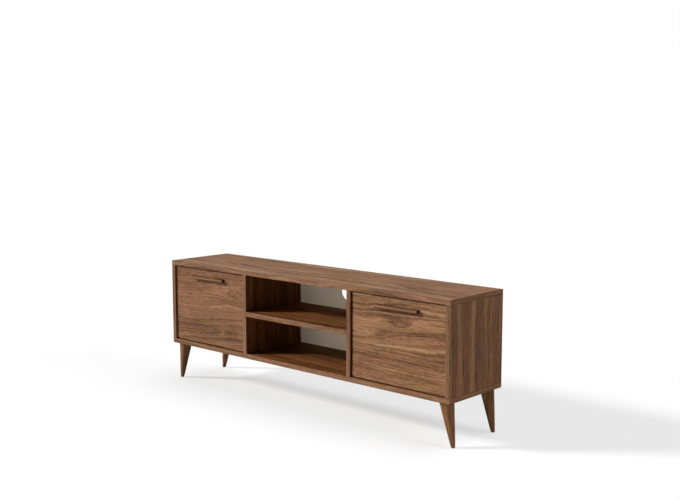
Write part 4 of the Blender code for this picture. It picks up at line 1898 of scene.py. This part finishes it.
# --- Studio --------------------------------------------------------------------------------------
@dataclass(frozen=True)
class Lamp:
    """A soft, far light.

    Fields:
        name: Its name.
        azimuth: Where it comes from: 0 is the front, 90 the right.
        elevation: Its height above the horizon, in degrees.
        softness: How wide it looks, in degrees.
        strength: Its irradiance.
        colour: Its colour.
    """

    name: str
    azimuth: float
    elevation: float
    softness: float
    strength: float
    colour: Colour = (1.0, 1.0, 1.0)

    def build(self) -> None:
        """Hangs the lamp."""
        data = bpy.data.lights.new(self.name, "SUN")
        data.energy = self.strength
        data.angle = math.radians(self.softness)
        data.color = self.colour
        made = bpy.data.objects.new(self.name, data)
        bpy.context.scene.collection.objects.link(made)
        turn, rise = math.radians(self.azimuth), math.radians(self.elevation)
        source = Vector(
            (math.sin(turn) * math.cos(rise), -math.cos(turn) * math.cos(rise), math.sin(rise))
        )
        made.rotation_euler = source.to_track_quat("Z", "Y").to_euler()
        made.location = 3.0 * source


@dataclass
class Studio:
    """The camera, the lamps, the white surroundings and the pale floor.

    Fields:
        eye: The camera's place.
        tilt: The camera's turn about X, in degrees.
        heading: The camera's turn about Z, in degrees.
        lens: Its focal length, in millimetres.
        shift: Its shift, right and up.
        surround: Strength of the soft light from all round.
        sheen: Strength of what satin faces reflect of the surroundings.
        floor_half: Half the floor's width.
        floor_glow: How much paler the floor looks than it lights.
    """

    eye: tuple[float, float, float] = (2.5575, -2.7003, 1.0426)
    tilt: float = 82.751
    heading: float = 42.319
    lens: float = 53.474
    shift: tuple[float, float] = (-0.0015, 0.0037)
    surround: float = 0.012
    sheen: float = 0.25
    floor_half: float = 60.0
    floor_glow: float = 0.6
    lamps: tuple[Lamp, ...] = (
        Lamp("key_lamp", -50.0, 29.0, 10.0, 3.3),
        Lamp("front_lamp_right", 3.0, 3.0, 12.0, 0.45, (1.0, 0.97, 0.90)),
        Lamp("front_lamp_middle", -15.0, 3.0, 14.0, 0.25, (1.0, 0.97, 0.90)),
        Lamp("front_lamp_left", -32.0, 3.0, 16.0, 0.15, (1.0, 0.97, 0.90)),
        Lamp("top_lamp", 150.0, 75.0, 40.0, 1.20, (1.0, 1.0, 1.08)),
        Lamp("right_lamp", 105.0, 28.0, 30.0, 0.77, (1.0, 0.98, 0.93)),
    )

    def build(self) -> None:
        """Sets up the whole studio."""
        self.build_camera()
        self.build_surround()
        self.build_floor()
        for lamp in self.lamps:
            lamp.build()
        bpy.context.scene.view_settings.view_transform = "Standard"

    def build_camera(self) -> None:
        """Places the camera."""
        data = bpy.data.cameras.new("camera")
        data.lens = self.lens
        data.sensor_width = 36.0
        data.shift_x, data.shift_y = self.shift
        made = bpy.data.objects.new("camera", data)
        bpy.context.scene.collection.objects.link(made)
        made.location = self.eye
        made.rotation_euler = (math.radians(self.tilt), 0.0, math.radians(self.heading))
        bpy.context.scene.camera = made

    def build_surround(self) -> None:
        """White all round to the camera, and a soft light from all round."""
        world = bpy.data.worlds.new("studio")
        world.use_nodes = True
        bpy.context.scene.world = world
        sheet = NodeSheet(world.node_tree)
        backdrop = world.node_tree.nodes["Background"]
        path = sheet.node("ShaderNodeLightPath").outputs
        strength = sheet.total(
            (self.surround, 1.0),
            (path["Is Camera Ray"], 1.0 - self.surround),
            (path["Is Glossy Ray"], self.sheen),
        )
        backdrop.inputs["Color"].default_value = (1.0, 1.0, 1.0, 1.0)
        world.node_tree.links.new(strength, backdrop.inputs["Strength"])

    def build_floor(self) -> None:
        """Lays a pale matt floor with a faint mottle."""
        mesh = bpy.data.meshes.new("studio_floor")
        half = self.floor_half
        corners = [(-half, -half, 0.0), (half, -half, 0.0), (half, half, 0.0), (-half, half, 0.0)]
        mesh.from_pydata(corners, [], [(0, 1, 2, 3)])
        sheet = MaterialSheet("pale_floor")
        mottle = sheet.noise(sheet.place(), 3.0, 3.0)
        grey = sheet.ramp(
            sheet.span(mottle, -0.4, 0.4), (0.0, (0.38, 0.38, 0.38)), (1.0, (0.42, 0.42, 0.42))
        )
        seen = sheet.node("ShaderNodeLightPath").outputs["Is Camera Ray"]
        look = sheet.finish(
            Base_Color=grey,
            Roughness=0.9,
            Specular_IOR_Level=0.1,
            Emission_Color=(1.0, 1.0, 1.0, 1.0),
            Emission_Strength=sheet.total((seen, self.floor_glow)),
        )
        link("studio_floor", mesh, look)


def main() -> None:
    """Builds the looks in order."""
    logging.basicConfig(level=logging.INFO, format="%(message)s")
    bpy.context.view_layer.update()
    palette = Palette()
    Carcass(palette).build()
    BackPanels(palette).build()
    Legs(palette).build()
    for side in Side:
        FlapDoor(palette, side).build()
        Catch(palette, side).build()
        FlapStay(palette, side).build()
    Studio().build()


if __name__ == "__main__":
    main()
